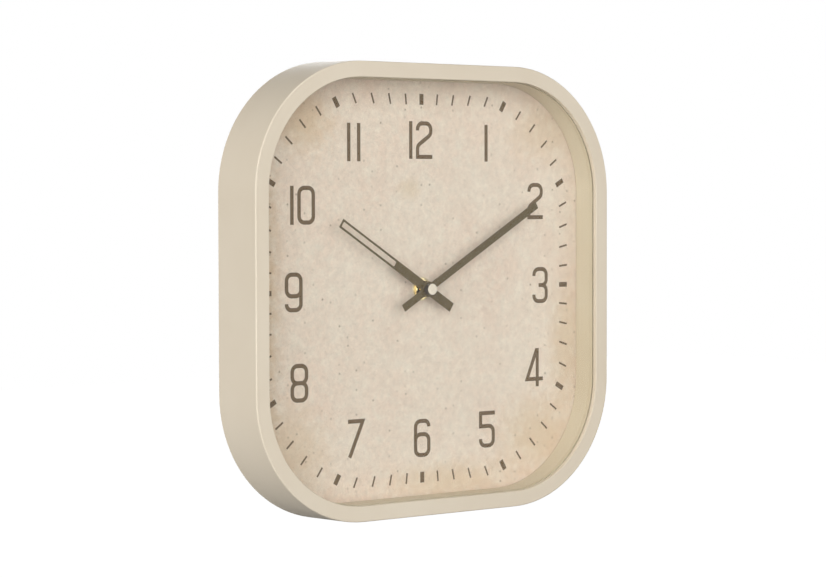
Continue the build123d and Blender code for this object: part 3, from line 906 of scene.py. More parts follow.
@dataclass
class Case(SubAssembly):
    """Frame, spacer ring and glass.

    Attributes:
        spray_grain: Size of the sprayed frame's grain in millimetres.
        mould_grain: Size of the moulded ring's grain.
        grain_depth: Height of both.
    """

    spray_grain: float = 0.7
    mould_grain: float = 0.6
    grain_depth: float = 0.006

    def finishes(self) -> dict[str, Finish]:
        """Choose the finishes of the case.

        Returns:
            The finish of each CAD piece.
        """
        spray, mould, depth = self.spray_grain, self.mould_grain, self.grain_depth
        return {
            # ABS, moulded and sprayed satin: soft broad highlights, hardly any grain.
            "frame": MouldedPlastic("sprayed_abs_cream", "#DED2BE", 0.42, "#DACDB8", spray, depth),
            # The same ABS as moulded: a little warmer and more matt.
            "spacer_ring": MouldedPlastic("moulded_abs_cream", "#D6C8B0", 0.55, "#D0C0A6", mould, depth),
            # Float glass: clear, with a mirror on top only.
            "glass": FloatGlass("float_glass_clear", "#FBFDFC", 0.0),
        }


@dataclass(frozen=True)
class Stroke:
    """One stroke of a numeral: corners joined by runs and arcs.

    Attributes:
        corners: Each corner's place across and up, and the radius of its arc.
        closed: Whether the last corner joins the first.
    """

    corners: tuple[Point, ...]
    closed: bool = False

    def turned(self) -> "Stroke":
        """Return the stroke turned half round about the numeral's middle."""
        return Stroke(tuple((-across, -up, radius) for across, up, radius in self.corners), self.closed)

    def path(self, arc_step: float, fewest: int = 4) -> list[Vector]:
        """Lay points along the middle of the stroke.

        Args:
            arc_step: Most degrees of an arc from one point to the next.
            fewest: Least number of steps in an arc.

        Returns:
            The points, in millimetres.
        """
        count = len(self.corners)
        points: list[Vector] = []
        for number, (across, up, radius) in enumerate(self.corners):
            here = Vector((across, up))
            inner = self.closed or 0 < number < count - 1
            if not inner or radius == 0:
                points.append(here)
                continue
            arriving = (here - Vector(self.corners[number - 1][:2])).normalized()
            leaving = (Vector(self.corners[(number + 1) % count][:2]) - here).normalized()
            turn = arriving.angle_signed(leaving)
            start = here - arriving * radius * math.tan(abs(turn) / 2)
            side = Vector((-arriving.y, arriving.x)) * (-radius if turn > 0 else radius)
            middle = start + side
            steps = max(fewest, math.ceil(abs(math.degrees(turn)) / arc_step))
            for step in range(steps + 1):
                part = Matrix.Rotation(-turn * step / steps, 2)
                points.append(middle + part @ (start - middle))
        return points


@dataclass
class Numerals:
    """Plain upright numerals printed round the dial.

    Attributes:
        stroke: Width of a stroke in millimetres.
        half_wide: Middle of a side stroke to the middle of the numeral.
        half_tall: Middle of a top or bottom stroke to the middle of the numeral.
        bend: Radius of the bends at the middle of the stroke.
        film: Thickness of the ink in millimetres.
        thicker: How much thicker each later stroke is, as a share, to lie on the earlier ones.
        sink: How far the ink reaches into the board, in millimetres.
        arc_step: Most degrees of a bend from one point to the next.
        mitre: Least cosine of a corner's half turn, which keeps sharp corners short.
    """

    stroke: float = 3.2
    half_wide: float = 6.6
    half_tall: float = 13.0
    bend: float = 4.7
    film: float = 0.05
    thicker: float = 0.25
    sink: float = 0.02
    arc_step: float = 9.0
    mitre: float = 0.3

    def strokes(self) -> dict[str, tuple[Stroke, ...]]:
        """Draw the numerals from 0 to 9.

        Returns:
            The strokes of each numeral, in millimetres about its middle.
        """
        wide, tall, bend = self.half_wide, self.half_tall, self.bend
        edge, end = wide + self.stroke / 2, tall + self.stroke / 2
        top = ((-wide, tall, bend), (wide, tall, bend))
        foot = ((wide, -tall, bend), (-wide, -tall, bend))
        tip, spur = (-wide, 7.5, 0), (-wide, -7.5, 0)
        waist, notch = (wide, 0, bend), (-1.6, 0, 0)
        # The 6 is a closed loop, a little deeper than the other numerals, and a hooked back.
        bar, deep = 2.6, tall + 0.6
        loop = Stroke(
            ((-wide, bar, bend), (wide, bar, bend), (wide, -deep, bend), (-wide, -deep, bend)), True
        )
        back = Stroke(((-wide, -tall / 3, 0), (-wide, tall, bend), (wide, tall, 4.2), (wide, 8.4, 0)))
        lines = {
            "1": (((0, end, 0), (0, -end, 0)),),
            "2": ((tip, *top, (wide, 4.4, bend), (-wide, -4.4, bend), (-wide, -tall, 0), (edge, -tall, 0)),),
            "3": ((tip, *top, waist, notch), (notch, waist, *foot, spur)),
            "4": (((3.4, 15.5, 0), (3.4, -15.5, 0)), ((9.4, -9.3, 0), (-7.6, -9.3, 0), (2.8, 14.9, 0))),
            "5": (((edge, tall, 0), (-wide, tall, 0), (-wide, bar, 0), (wide, bar, bend), *foot, spur),),
            "7": (((-edge, tall, 0), (wide - 0.6, tall, 0), (-wide - 0.1, -end, 0)),),
        }
        drawn = {digit: tuple(Stroke(corners) for corners in parts) for digit, parts in lines.items()}
        drawn["0"] = (Stroke((*top, *foot), True),)
        drawn["6"] = (loop, back)
        drawn["8"] = (
            Stroke((*top, waist, (-wide, 0, bend)), True),
            Stroke(((-wide, 0, bend), waist, *foot), True),
        )
        drawn["9"] = (loop.turned(), back.turned())
        return drawn

    def edges(self, stroke: Stroke) -> list[tuple[Vector, Vector]]:
        """Measure from the middle of a stroke to its left edge at each point of its path.

        Args:
            stroke: The stroke.

        Returns:
            Pairs of a point and the way from there to the edge, in millimetres.
        """
        path = stroke.path(self.arc_step)
        last = len(path) - 1
        pairs = []
        for number, point in enumerate(path):
            ways = []
            if stroke.closed or number:
                ways.append((point - path[number - 1]).normalized())
            if stroke.closed or number < last:
                ways.append((path[(number + 1) % len(path)] - point).normalized())
            ahead = (ways[0] + ways[-1]).normalized()
            reach = self.stroke / 2 / max(ahead.dot(ways[0]), self.mitre)
            pairs.append((point, Vector((-ahead.y, ahead.x)) * reach))
        return pairs

    def draw(
        self, shape: bmesh.types.BMesh, stroke: Stroke, place: Vector, face: float, layer: int
    ) -> None:
        """Add one stroke as a thin closed plate of ink.

        Args:
            shape: The mesh that takes it.
            stroke: The stroke.
            place: The numeral's middle, in metres across and up.
            face: Y of the dial's face, in metres.
            layer: How many strokes of the numeral it may lie on.
        """
        back, front = face + self.sink * MM, face - self.film * (1 + layer * self.thicker) * MM
        rings = []
        for point, across in self.edges(stroke):
            corners = []
            for depth, side in ((back, 1), (back, -1), (front, -1), (front, 1)):
                spot = (point + across * side) * MM
                corners.append(shape.verts.new((place.x + spot.x, depth, place.y + spot.y)))
            rings.append(corners)
        pairs = list(zip(rings, rings[1:]))
        if stroke.closed:
            pairs.append((rings[-1], rings[0]))
        else:
            shape.faces.new(rings[0])
            shape.faces.new(rings[-1])
        for one, two in pairs:
            join_rings(shape, one, two)


@dataclass
class Dial(SubAssembly):
    """Dial board with its numerals and minute marks in ink.

    Attributes:
        numerals: The numerals' drawing.
        digits: Each digit with its place across and up from the centre, in millimetres.
        mark_count: Number of marks round the dial.
        mark_half: Half-width of the rounded square that the marks stand on.
        mark_corner: Radius of its corners.
        mark_long: Length of a mark.
        hour_wide: Width of an hour mark.
        minute_wide: Width of a minute mark.
        stains_and_shade: The print's soft stains, and painted shade for the shadow of the case's left wall.
    """

    numerals: Numerals = field(default_factory=Numerals)
    digits: tuple[tuple[str, float, float], ...] = (
        ("1", -10.7, 115.7),
        ("2", 2.6, 115.7),
        ("1", 65.5, 114.1),
        ("2", 117.2, 68.0),
        ("3", 122.5, 0.0),
        ("4", 116.0, -66.5),
        ("5", 66.1, -113.7),
        ("6", 0.0, -116.3),
        ("7", -64.1, -112.8),
        ("8", -117.8, -68.1),
        ("9", -122.7, 0.0),
        ("1", -124.1, 65.5),
        ("0", -110.9, 65.5),
        ("1", -70.8, 113.4),
        ("1", -61.3, 113.4),
    )
    mark_count: int = 60
    mark_half: float = 147.3
    mark_corner: float = 91.1
    mark_long: float = 8.4
    hour_wide: float = 3.9
    minute_wide: float = 1.5
    stains_and_shade: tuple[StainAndShade, ...] = (
        StainAndShade(120.0, -120.0, 60.0, 45.0, 0.45),
        StainAndShade(150.0, -50.0, 25.0, 70.0, 0.4),
        StainAndShade(30.0, -152.0, 90.0, 22.0, 0.4),
        StainAndShade(-115.0, 129.0, 45.0, 35.0, 0.5),
        StainAndShade(-13.0, 78.0, 16.0, 12.0, 0.3),
        StainAndShade(125.0, 125.0, 50.0, 35.0, 0.3),
        StainAndShade(-130.0, -120.0, 55.0, 50.0, 0.35),
        # Painted shade: a strong tan band down the dial's left edge that stands for the shadow of the case's
        # left wall.
        StainAndShade(-160.0, 0.0, 32.0, 200.0, 0.75),
    )

    def finishes(self) -> dict[str, Finish]:
        """Choose the finish of the board.

        Returns:
            The finish of each CAD piece.
        """
        # Hardboard under a printed paper that imitates old plaster: dead matt and blotchy.
        board = PrintedDial(
            "printed_hardboard_plaster",
            "#E5D2C1",
            0.85,
            warm_colour="#E3CAB8",
            pale_colour="#EADDCC",
            # The stains' tan, which also colours the painted shade by the left wall.
            stain_and_shade_colour="#CFAF86",
            speck_colour="#7D6342",
            board_colour="#7A5C3A",
            fibre_colour="#A98A62",
            centre_up=self.site.centre.y,
            face=self.site.face,
            stains_and_shade=self.stains_and_shade,
        )
        return {"dial": board}

    def ink(self) -> Material:
        """Return the material of brown screen ink: dead matt, thin in places."""
        return PrintInk("screen_ink_brown", "#665038", 0.8, thin_colour="#776048").material()

    def numbers(self) -> Object:
        """Make all the numerals as one mesh of ink.

        Returns:
            The numerals.
        """
        shape = bmesh.new()
        glyphs = self.numerals.strokes()
        for digit, across, up in self.digits:
            place = self.site.centre + Vector((across, up)) * MM
            for layer, stroke in enumerate(glyphs[digit]):
                self.numerals.draw(shape, stroke, place, self.site.face, layer)
        return finished_object("dial_numerals", shape, self.ink())

    def marks(self) -> Object:
        """Make the ring of minute and hour marks.

        Returns:
            The marks as one mesh of ink.
        """
        ring = CopyTree(
            "mark_ring",
            {
                "Count": self.mark_count,
                "Half Side": self.mark_half * MM,
                "Corner Radius": self.mark_corner * MM,
                "Length": self.mark_long * MM,
                "Hour Width": self.hour_wide * MM,
                "Minute Width": self.minute_wide * MM,
                "Film": 2 * self.numerals.film * MM,
                "Centre X": self.site.centre.x,
                "Centre Z": self.site.centre.y,
                "Face Y": self.site.face,
                "Finish": self.ink(),
            },
        )
        ring.work_out(
            ("step", "DIVIDE", math.tau, "Count"),
            ("turn", "MULTIPLY", "Index", "step"),
            ("sine", "SINE", "turn"),
            ("cosine", "COSINE", "turn"),
            ("wide", "ABSOLUTE", "sine"),
            ("tall", "ABSOLUTE", "cosine"),
            # A line from the centre meets a straight side first, or else the arc of a corner.
            ("more", "MAXIMUM", "wide", "tall"),
            ("less", "MINIMUM", "wide", "tall"),
            ("to side", "DIVIDE", "Half Side", "more"),
            ("beside", "MULTIPLY", "to side", "less"),
            ("straight", "SUBTRACT", "Half Side", "Corner Radius"),
            ("on side", "LESS_THAN", "beside", "straight"),
            ("both", "ADD", "wide", "tall"),
            ("along", "MULTIPLY", "straight", "both"),
            ("along squared", "POWER", "along", 2.0),
            ("radius squared", "POWER", "Corner Radius", 2.0),
            ("straight squared", "POWER", "straight", 2.0),
            ("arc centre squared", "MULTIPLY", "straight squared", 2.0),
            ("spare", "SUBTRACT", "radius squared", "arc centre squared"),
            ("chord squared", "ADD", "along squared", "spare"),
            ("chord", "SQRT", "chord squared"),
            ("to corner", "ADD", "along", "chord"),
            ("gap", "SUBTRACT", "to side", "to corner"),
            ("correction", "MULTIPLY", "gap", "on side"),
            ("reach", "ADD", "to corner", "correction"),
            ("x", "MULTIPLY_ADD", "sine", "reach", "Centre X"),
            ("z", "MULTIPLY_ADD", "cosine", "reach", "Centre Z"),
            # Every fifth mark is an hour's.
            ("fifth", "MODULO", "Index", 5.0),
            ("hour", "LESS_THAN", "fifth", 0.5),
            ("gain", "SUBTRACT", "Hour Width", "Minute Width"),
            ("width", "MULTIPLY_ADD", "hour", "gain", "Minute Width"),
        )
        known = ring.known
        spot = {"X": known["x"], "Y": known["Face Y"], "Z": known["z"]}
        size = {"X": known["width"], "Y": known["Film"], "Z": known["Length"]}
        ring.set_out(
            add_node(ring.tree, "GeometryNodeMeshCube", {"Size": (1.0, 1.0, 1.0)}).outputs["Mesh"],
            add_node(ring.tree, "ShaderNodeCombineXYZ", spot).outputs[0],
            add_node(ring.tree, "ShaderNodeCombineXYZ", size).outputs[0],
        )
        return ring.run("minute_marks")

    def build(self) -> None:
        """Dress the board and print the numerals and the marks on it."""
        self.dress()
        self.fit(self.numbers(), "dial_board")
        self.fit(self.marks(), "dial_board")


@dataclass
class Fixings(SubAssembly):
    """Clips, hanger plate and their pan-head screws with a cross recess.

    Attributes:
        head_radius: Radius of the head in millimetres.
        head_height: Height of the head.
        head_round: Rounding of the head's rim.
        rim_steps: Steps round the rim's quarter.
        recess_wide: Width of the cross's arms.
        recess_long: Length of the cross.
        recess_deep: Depth of the cross.
        recess_taper: Size of the cross at its bottom, as a share of its size on top.
        recess_over: How far the cutter stands out of the head.
        shank_radius: Radius of the shank.
        shank_long: Length of the shank.
        shank_tip: Length of the shank's pointed end.
        tip_share: Radius of the point's end, as a share of the shank's.
        turns: Points round the screw.
        top_band: Height of the band in which the top pair's own edges are measured.
        sets: For each node of screws, how many there are and the seed of their turns.
    """

    head_radius: float = 2.8
    head_height: float = 1.9
    head_round: float = 0.9
    rim_steps: int = 5
    recess_wide: float = 0.75
    recess_long: float = 2.9
    recess_deep: float = 1.1
    recess_taper: float = 0.55
    recess_over: float = 0.3
    shank_radius: float = 1.25
    shank_long: float = 8.0
    shank_tip: float = 0.6
    tip_share: float = 0.45
    turns: int = 24
    top_band: float = 0.4
    sets: tuple[tuple[str, int, int], ...] = (("dial_screws", 8, 3), ("hanger_screws", 2, 5))

    def finishes(self) -> dict[str, Finish]:
        """Choose the finish of the fixings.

        Returns:
            The finish of the CAD pieces.
        """
        # Zinc-plated sheet steel: grey-blue with a dull directional sheen.
        zinc = WorkedMetal("zinc_plated_steel", "#C9CBC8", 0.38, "#A9ABA9", stretch=(0.05, 1.0, 1.0))
        return {"dial_clips dial_screws hanger_plate hanger_screws": zinc}

    def section(self) -> list[tuple[float, float]]:
        """Draw half of the screw's section, from the top of its head to its point.

        Returns:
            Distances from the axis and heights above the seat, in millimetres.
        """
        inner, crown = self.head_radius - self.head_round, self.head_height - self.head_round
        points = [(0.0, self.head_height)]
        for step in range(self.rim_steps + 1):
            turn = math.radians(90 - 90 / self.rim_steps * step)
            out, up = self.head_round * math.cos(turn), self.head_round * math.sin(turn)
            points.append((inner + out, crown + up))
        return points + [
            (self.head_radius, 0.0),
            (self.shank_radius, 0.0),
            (self.shank_radius, self.shank_tip - self.shank_long),
            (self.shank_radius * self.tip_share, -self.shank_long),
            (0.0, -self.shank_long),
        ]

    def screw(self) -> Object:
        """Make one screw with its seat at the origin and its head towards +Y.

        Returns:
            The screw.
        """
        shape = bmesh.new()
        verts = [shape.verts.new((out * MM, up * MM, 0.0)) for out, up in self.section()]
        edges = [shape.edges.new(pair) for pair in zip(verts, verts[1:])]
        swept = {"cent": (0, 0, 0), "axis": (0, 1, 0), "angle": math.tau, "steps": self.turns}
        bmesh.ops.spin(shape, geom=verts + edges, use_merge=True, **swept)
        bmesh.ops.remove_doubles(shape, verts=shape.verts[:], dist=1e-6)
        made, cutter = finished_object("screw_master", shape), self.cross()
        modifier = made.modifiers.new("Recess", "BOOLEAN")
        modifier.operation = "DIFFERENCE"
        modifier.solver = "EXACT"
        modifier.object = cutter
        made.data = applied(made, modifier)
        bpy.data.objects.remove(cutter)
        return made

    def cross(self) -> Object:
        """Make the tapered cross that cuts the recess.

        Returns:
            The cutter.
        """
        shape = bmesh.new()
        half, arm = self.recess_long / 2, self.recess_wide / 2
        outline = [
            *((arm, half), (-arm, half), (-arm, arm), (-half, arm), (-half, -arm), (-arm, -arm)),
            *((-arm, -half), (arm, -half), (arm, -arm), (half, -arm), (half, arm), (arm, arm)),
        ]
        bottom, top = self.head_height - self.recess_deep, self.head_height + self.recess_over
        rings = []
        for up, share in ((bottom, self.recess_taper), (top, 1.0)):
            rings.append([shape.verts.new((x * share * MM, up * MM, z * share * MM)) for x, z in outline])
            shape.faces.new(rings[-1])
        join_rings(shape, *rings)
        return finished_object("recess", shape)

    def offset(self, node: str) -> float:
        """Measure how far each screw of a pair stands from the middle of its side.

        Args:
            node: The node of the screws.

        Returns:
            The distance in metres.
        """
        places = [vertex.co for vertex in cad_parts[node].data.vertices]
        least = max(place.z for place in places) - self.top_band * MM
        return max(abs(place.x) for place in places if place.z > least)

    def pairs(self, name: str, values: dict[str, Any]) -> Object:
        """Set screws out in pairs, side after side.

        Args:
            name: The new piece's name.
            values: The tree's named inputs.

        Returns:
            The screws as one piece.
        """
        maker = CopyTree("screw_pairs", values)
        maker.work_out(
            ("half", "DIVIDE", "Index", 2.0),
            ("side", "FLOOR", "half"),
            ("odd", "MODULO", "Index", 2.0),
            ("sign", "MULTIPLY_ADD", "odd", 2.0, -1.0),
            ("across", "MULTIPLY", "sign", "Offset"),
            ("swing", "MULTIPLY", "side", math.pi / 2),
        )
        tree, known = maker.tree, maker.known
        top = {"X": known["across"], "Z": known["Line"]}
        turned = {
            "Vector": add_node(tree, "ShaderNodeCombineXYZ", top).outputs[0],
            "Axis": (0.0, 1.0, 0.0),
            "Angle": known["swing"],
        }
        swung = add_node(tree, "ShaderNodeVectorRotate", turned).outputs[0]
        seat = {"Y": known["Seat Y"], "Z": known["Centre Z"]}
        shift = add_node(tree, "ShaderNodeCombineXYZ", seat).outputs[0]
        place = add_node(tree, "ShaderNodeVectorMath", {0: swung, 1: shift}, operation="ADD").outputs[0]
        # Each cross stays at the angle at which its screw came tight.
        driven = {2: 0.0, 3: math.pi / 2, "Seed": known["Seed"]}
        known["turn"] = add_node(tree, "FunctionNodeRandomValue", driven, data_type="FLOAT").outputs[1]
        screw = add_node(tree, "GeometryNodeObjectInfo", {"Object": known["Screw"]}).outputs["Geometry"]
        maker.set_out(screw, place)
        return maker.run(name)

    def build(self) -> None:
        """Dress the fixings and make screws with a cross recess for the plain ones."""
        self.dress()
        master = self.screw()
        for node, count, seed in self.sets:
            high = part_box(node)[1]
            values = {
                "Count": count,
                "Screw": master,
                "Offset": self.offset(node),
                "Line": high[2] - self.site.centre.y - self.head_radius * MM,
                "Seat Y": high[1] - self.head_height * MM,
                "Centre Z": self.site.centre.y,
                "Seed": seed,
                "Finish": self.nodes()[node].material(),
            }
            self.fit(self.pairs(f"{node}_cross_head", values), "zinc_steel", node)
        bpy.data.objects.remove(master)


@dataclass
class DialFastening(SubAssembly):
    """Centre bush with its washers, and a hexagon nut with chamfered corners.

    Attributes:
        bore: Radius of the hole in the nut and the brass washer, in millimetres.
        bore_bevel: Bevel at the front of the nut's hole.
        crown: Radius of the nut's flat front ring, as a share of half its flats.
        slope: Angle of the corners' chamfer, in degrees.
        rim: Width of the washer's domed rim.
        fall: How far the rim falls away, as a share of the washer's thickness.
        rim_steps: Steps across the rim.
        steps: Points round each ring.
    """

    bore: float = 4.15
    bore_bevel: float = 0.4
    crown: float = 0.92
    slope: float = 30.0
    rim: float = 1.1
    fall: float = 0.9
    rim_steps: int = 6
    steps: int = 96

    def finishes(self) -> dict[str, Finish]:
        """Choose the finishes of the fastening.

        Returns:
            The finish of each CAD piece.
        """
        # How far the lines of each tool are drawn out along X, Y and Z.
        lathe, rolls = (1.0, 0.2, 1.0), (0.1, 1.0, 1.0)
        return {
            # Brass turned on a lathe: bright yellow with fine rings.
            "centre_bush fixing_nut": WorkedMetal("turned_brass", "#FAE8BA", 0.15, "#EFD7A0", lathe, 0.25),
            # Rolled brass sheet, stamped and gone dull: paler and more matt.
            "dial_washer": WorkedMetal("rolled_brass_dull", "#DCCDAE", 0.44, "#CDBC98", rolls, 0.5),
            # Nitrile rubber: black and dull.
            "rubber_washer": MouldedPlastic("nitrile_rubber", "#161616", 0.8, "#1E1E1E", 0.5, 0.02, 8.0),
        }

    def ring(self, radii: list[float], depths: list[float]) -> list[Point]:
        """Lay the points of one ring about the dial's centre.

        Args:
            radii: Distance from the axis at each step, in metres.
            depths: Y at each step, in metres.

        Returns:
            The points.
        """
        points = []
        for step, (radius, depth) in enumerate(zip(radii, depths)):
            angle = math.tau * step / self.steps
            across, up = radius * math.cos(angle), radius * math.sin(angle)
            points.append((self.site.centre.x + across, depth, self.site.centre.y + up))
        return points

    def level(self, radius: float, depth: float) -> list[Point]:
        """Return a round ring at one depth, with radius and depth in metres."""
        return self.ring([radius] * self.steps, [depth] * self.steps)

    def closed(self, name: str, bands: list[list[Point]], finish: Finish) -> Object:
        """Make a piece with a hole from rings of points.

        Args:
            name: The piece's name.
            bands: Its rings, in order round the section.
            finish: Its finish.

        Returns:
            The piece.
        """
        shape = bmesh.new()
        rings = [[shape.verts.new(point) for point in band] for band in bands]
        for number, ring in enumerate(rings):
            join_rings(shape, ring, rings[(number + 1) % len(rings)])
        return finished_object(name, shape, finish.material())

    def nut(self) -> Object:
        """Make the nut, tightened so that one flat faces left.

        Returns:
            The nut.
        """
        low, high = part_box("fixing_nut")
        front, back = low[1], high[1]
        apothem = (high[2] - low[2]) / 2
        crown = apothem * self.crown
        # Each step's angle from the middle of its flat, of which there is one in sixty degrees.
        turns = [math.radians((360 * step / self.steps + 30) % 60 - 30) for step in range(self.steps)]
        edge = [apothem / math.cos(turn) for turn in turns]
        shoulder = [front + (reach - crown) * math.tan(math.radians(self.slope)) for reach in edge]
        bore, bevel = self.bore * MM, self.bore_bevel * MM
        bands = [
            self.level(bore, back),
            self.ring(edge, [back] * self.steps),
            self.ring(edge, shoulder),
            self.level(crown, front),
            self.level(bore + bevel, front),
            self.level(bore, front + bevel),
        ]
        return self.closed("chamfered_nut", bands, self.nodes()["fixing_nut"])

    def washer(self) -> Object:
        """Make the washer, with a rim that falls away in a quarter round.

        Returns:
            The washer.
        """
        low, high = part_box("dial_washer")
        front, back = low[1], high[1]
        outer = (high[0] - low[0]) / 2
        rim, fall = self.rim * MM, (back - front) * self.fall
        bands = [self.level(self.bore * MM, back), self.level(outer, back)]
        for step in range(self.rim_steps + 1):
            turn = math.radians(90 / self.rim_steps * step)
            reach = outer - rim + rim * math.cos(turn)
            bands.append(self.level(reach, front + fall * (1 - math.sin(turn))))
        bands.append(self.level(self.bore * MM, front))
        return self.closed("domed_washer", bands, self.nodes()["dial_washer"])

    def build(self) -> None:
        """Dress the fastening and make a finer nut and washer."""
        self.dress()
        self.fit(self.nut(), "brass", "fixing_nut")
        self.fit(self.washer(), "brass", "dial_washer")


@dataclass
class Movement(SubAssembly):
    """Quartz movement with its battery.

    Attributes:
        grain: Size of the housing's eroded texture in millimetres.
        grain_depth: Its height.
        cloud: Size of the clouds in the housing's colour.
        shoulder: Length of bare steel at the cell's positive end.
    """

    grain: float = 0.9
    grain_depth: float = 0.02
    cloud: float = 25.0
    shoulder: float = 1.9

    def finishes(self) -> dict[str, Finish]:
        """Choose the finishes of the movement.

        Returns:
            The finish of each CAD piece, or of several named together.
        """
        housing = {"grain": self.grain, "grain_depth": self.grain_depth, "cloud": self.cloud}
        # How far the lines of drawing and stamping are drawn out along X, Y and Z.
        lengthwise, upright = (0.1, 1.0, 1.0), (1.0, 0.1, 1.0)
        low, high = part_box("battery")
        # Printed film on a steel can: dark and half glossy, with bare ends.
        cell = PrintedSleeve(
            "printed_film_sleeve",
            "#2D3238",
            0.3,
            band_colour="#B9772E",
            steel_colour="#C8C6C0",
            half=(high[0] - low[0]) / 2,
            shoulder=high[0] - self.shoulder * MM,
        )
        # Acetal: white, slightly waxy.
        acetal = MouldedPlastic("moulded_acetal", "#E9E7DF", 0.4, "#E2E0D6", 0.5, 0.006, 6.0)
        return {
            # Black and dark grey ABS with an eroded texture.
            "movement_case": MouldedPlastic("moulded_abs_black", "#1B1B1B", 0.5, "#222222", **housing),
            "movement_cover setting_knob": MouldedPlastic(
                "moulded_abs_graphite", "#2A2B2D", 0.45, "#333436", **housing
            ),
            # Phenolic paper laminate: brown and half glossy.
            "circuit_board": MouldedPlastic(
                "phenolic_laminate", "#7A5A2C", 0.35, "#6A4C22", 0.4, 0.005, 4.0
            ),
            # A drop of black epoxy: smooth, with a soft shine.
            "circuit_chip": MouldedPlastic("cast_epoxy", "#101010", 0.25, "#181818", 1.5, 0.02, 3.0),
            # A drawn steel can with bright nickel: pale and nearly a mirror.
            "crystal": WorkedMetal("drawn_nickel_can", "#D8D6D0", 0.18, "#BDBBB5", lengthwise, 0.2),
            # Stamped soft iron: grey and dull.
            "stator coil_core": WorkedMetal("stamped_soft_iron", "#9C9A96", 0.45, "#7E7C78", line=0.5),
            "coil_bobbin rotor_pinion fifth_wheel seconds_wheel third_wheel centre_wheel": acetal,
            "minute_pipe motion_wheel hour_wheel setting_pinion": acetal,
            # Enamelled copper wire: reddish brown, ribbed by its turns.
            "coil_winding": WoundWire("enamelled_copper", "#B8652F", 0.35, gap_colour="#5A2C14"),
            # Sintered ferrite: dark and grainy.
            "rotor_magnet": MouldedPlastic("sintered_ferrite", "#2E2E30", 0.55, "#3A3A3C", 0.3, 0.02, 2.0),
            # Nickel-plated spring steel: bright, with fine drawn lines.
            "contact_positive contact_negative": WorkedMetal(
                "nickel_spring_steel", "#D2CEC4", 0.25, "#B5B1A7", upright, 0.3
            ),
            "battery": cell,
        }


@dataclass
class Hands(SubAssembly):
    """Hour and minute hand with their collets and the cap.

    Attributes:
        fleck: Size of the drops of spray in millimetres.
        grain: Size of the polished pieces' faint unevenness.
        cloud: Size of the clouds in their colour.
    """

    fleck: float = 0.5
    grain: float = 1.2
    cloud: float = 3.0

    def finishes(self) -> dict[str, Finish]:
        """Choose the finishes of the hands.

        Returns:
            The finish of each CAD piece, or of several named together.
        """
        polish = {"grain": self.grain, "cloud": self.cloud}
        return {
            # Aluminium stamped and sprayed olive brown: satin, with fine drops.
            "hour_hand minute_hand": SprayedHand(
                "sprayed_aluminium_olive", "#594A31", 0.5, "#635339", self.fleck
            ),
            # Gloss black ABS of the collars: small sharp highlights.
            "hour_collet minute_collet cap_body": MouldedPlastic(
                "polished_abs_black", "#3C3530", 0.3, "#443C36", grain_depth=0.001, **polish
            ),
            # Gloss cream ABS of the cap's disc: the same highlights, softened by the pale colour.
            "cap_disc": MouldedPlastic(
                "polished_abs_ivory", "#E6D6C5", 0.3, "#E0D0BE", grain_depth=0.003, **polish
            ),
        }


# ---- Studio -------------------------------------------------------------------------


class Lamp(Enum):
    """The studio's soft lamps: degrees left of the front and up, metres wide and tall, strength."""

    KEY = (70.0, 8.0, 6.0, 3.0, 246.0)
    FILL = (-8.0, 0.0, 12.0, 12.0, 625.0)
    BACK = (205.0, 8.0, 4.0, 3.0, 150.0)


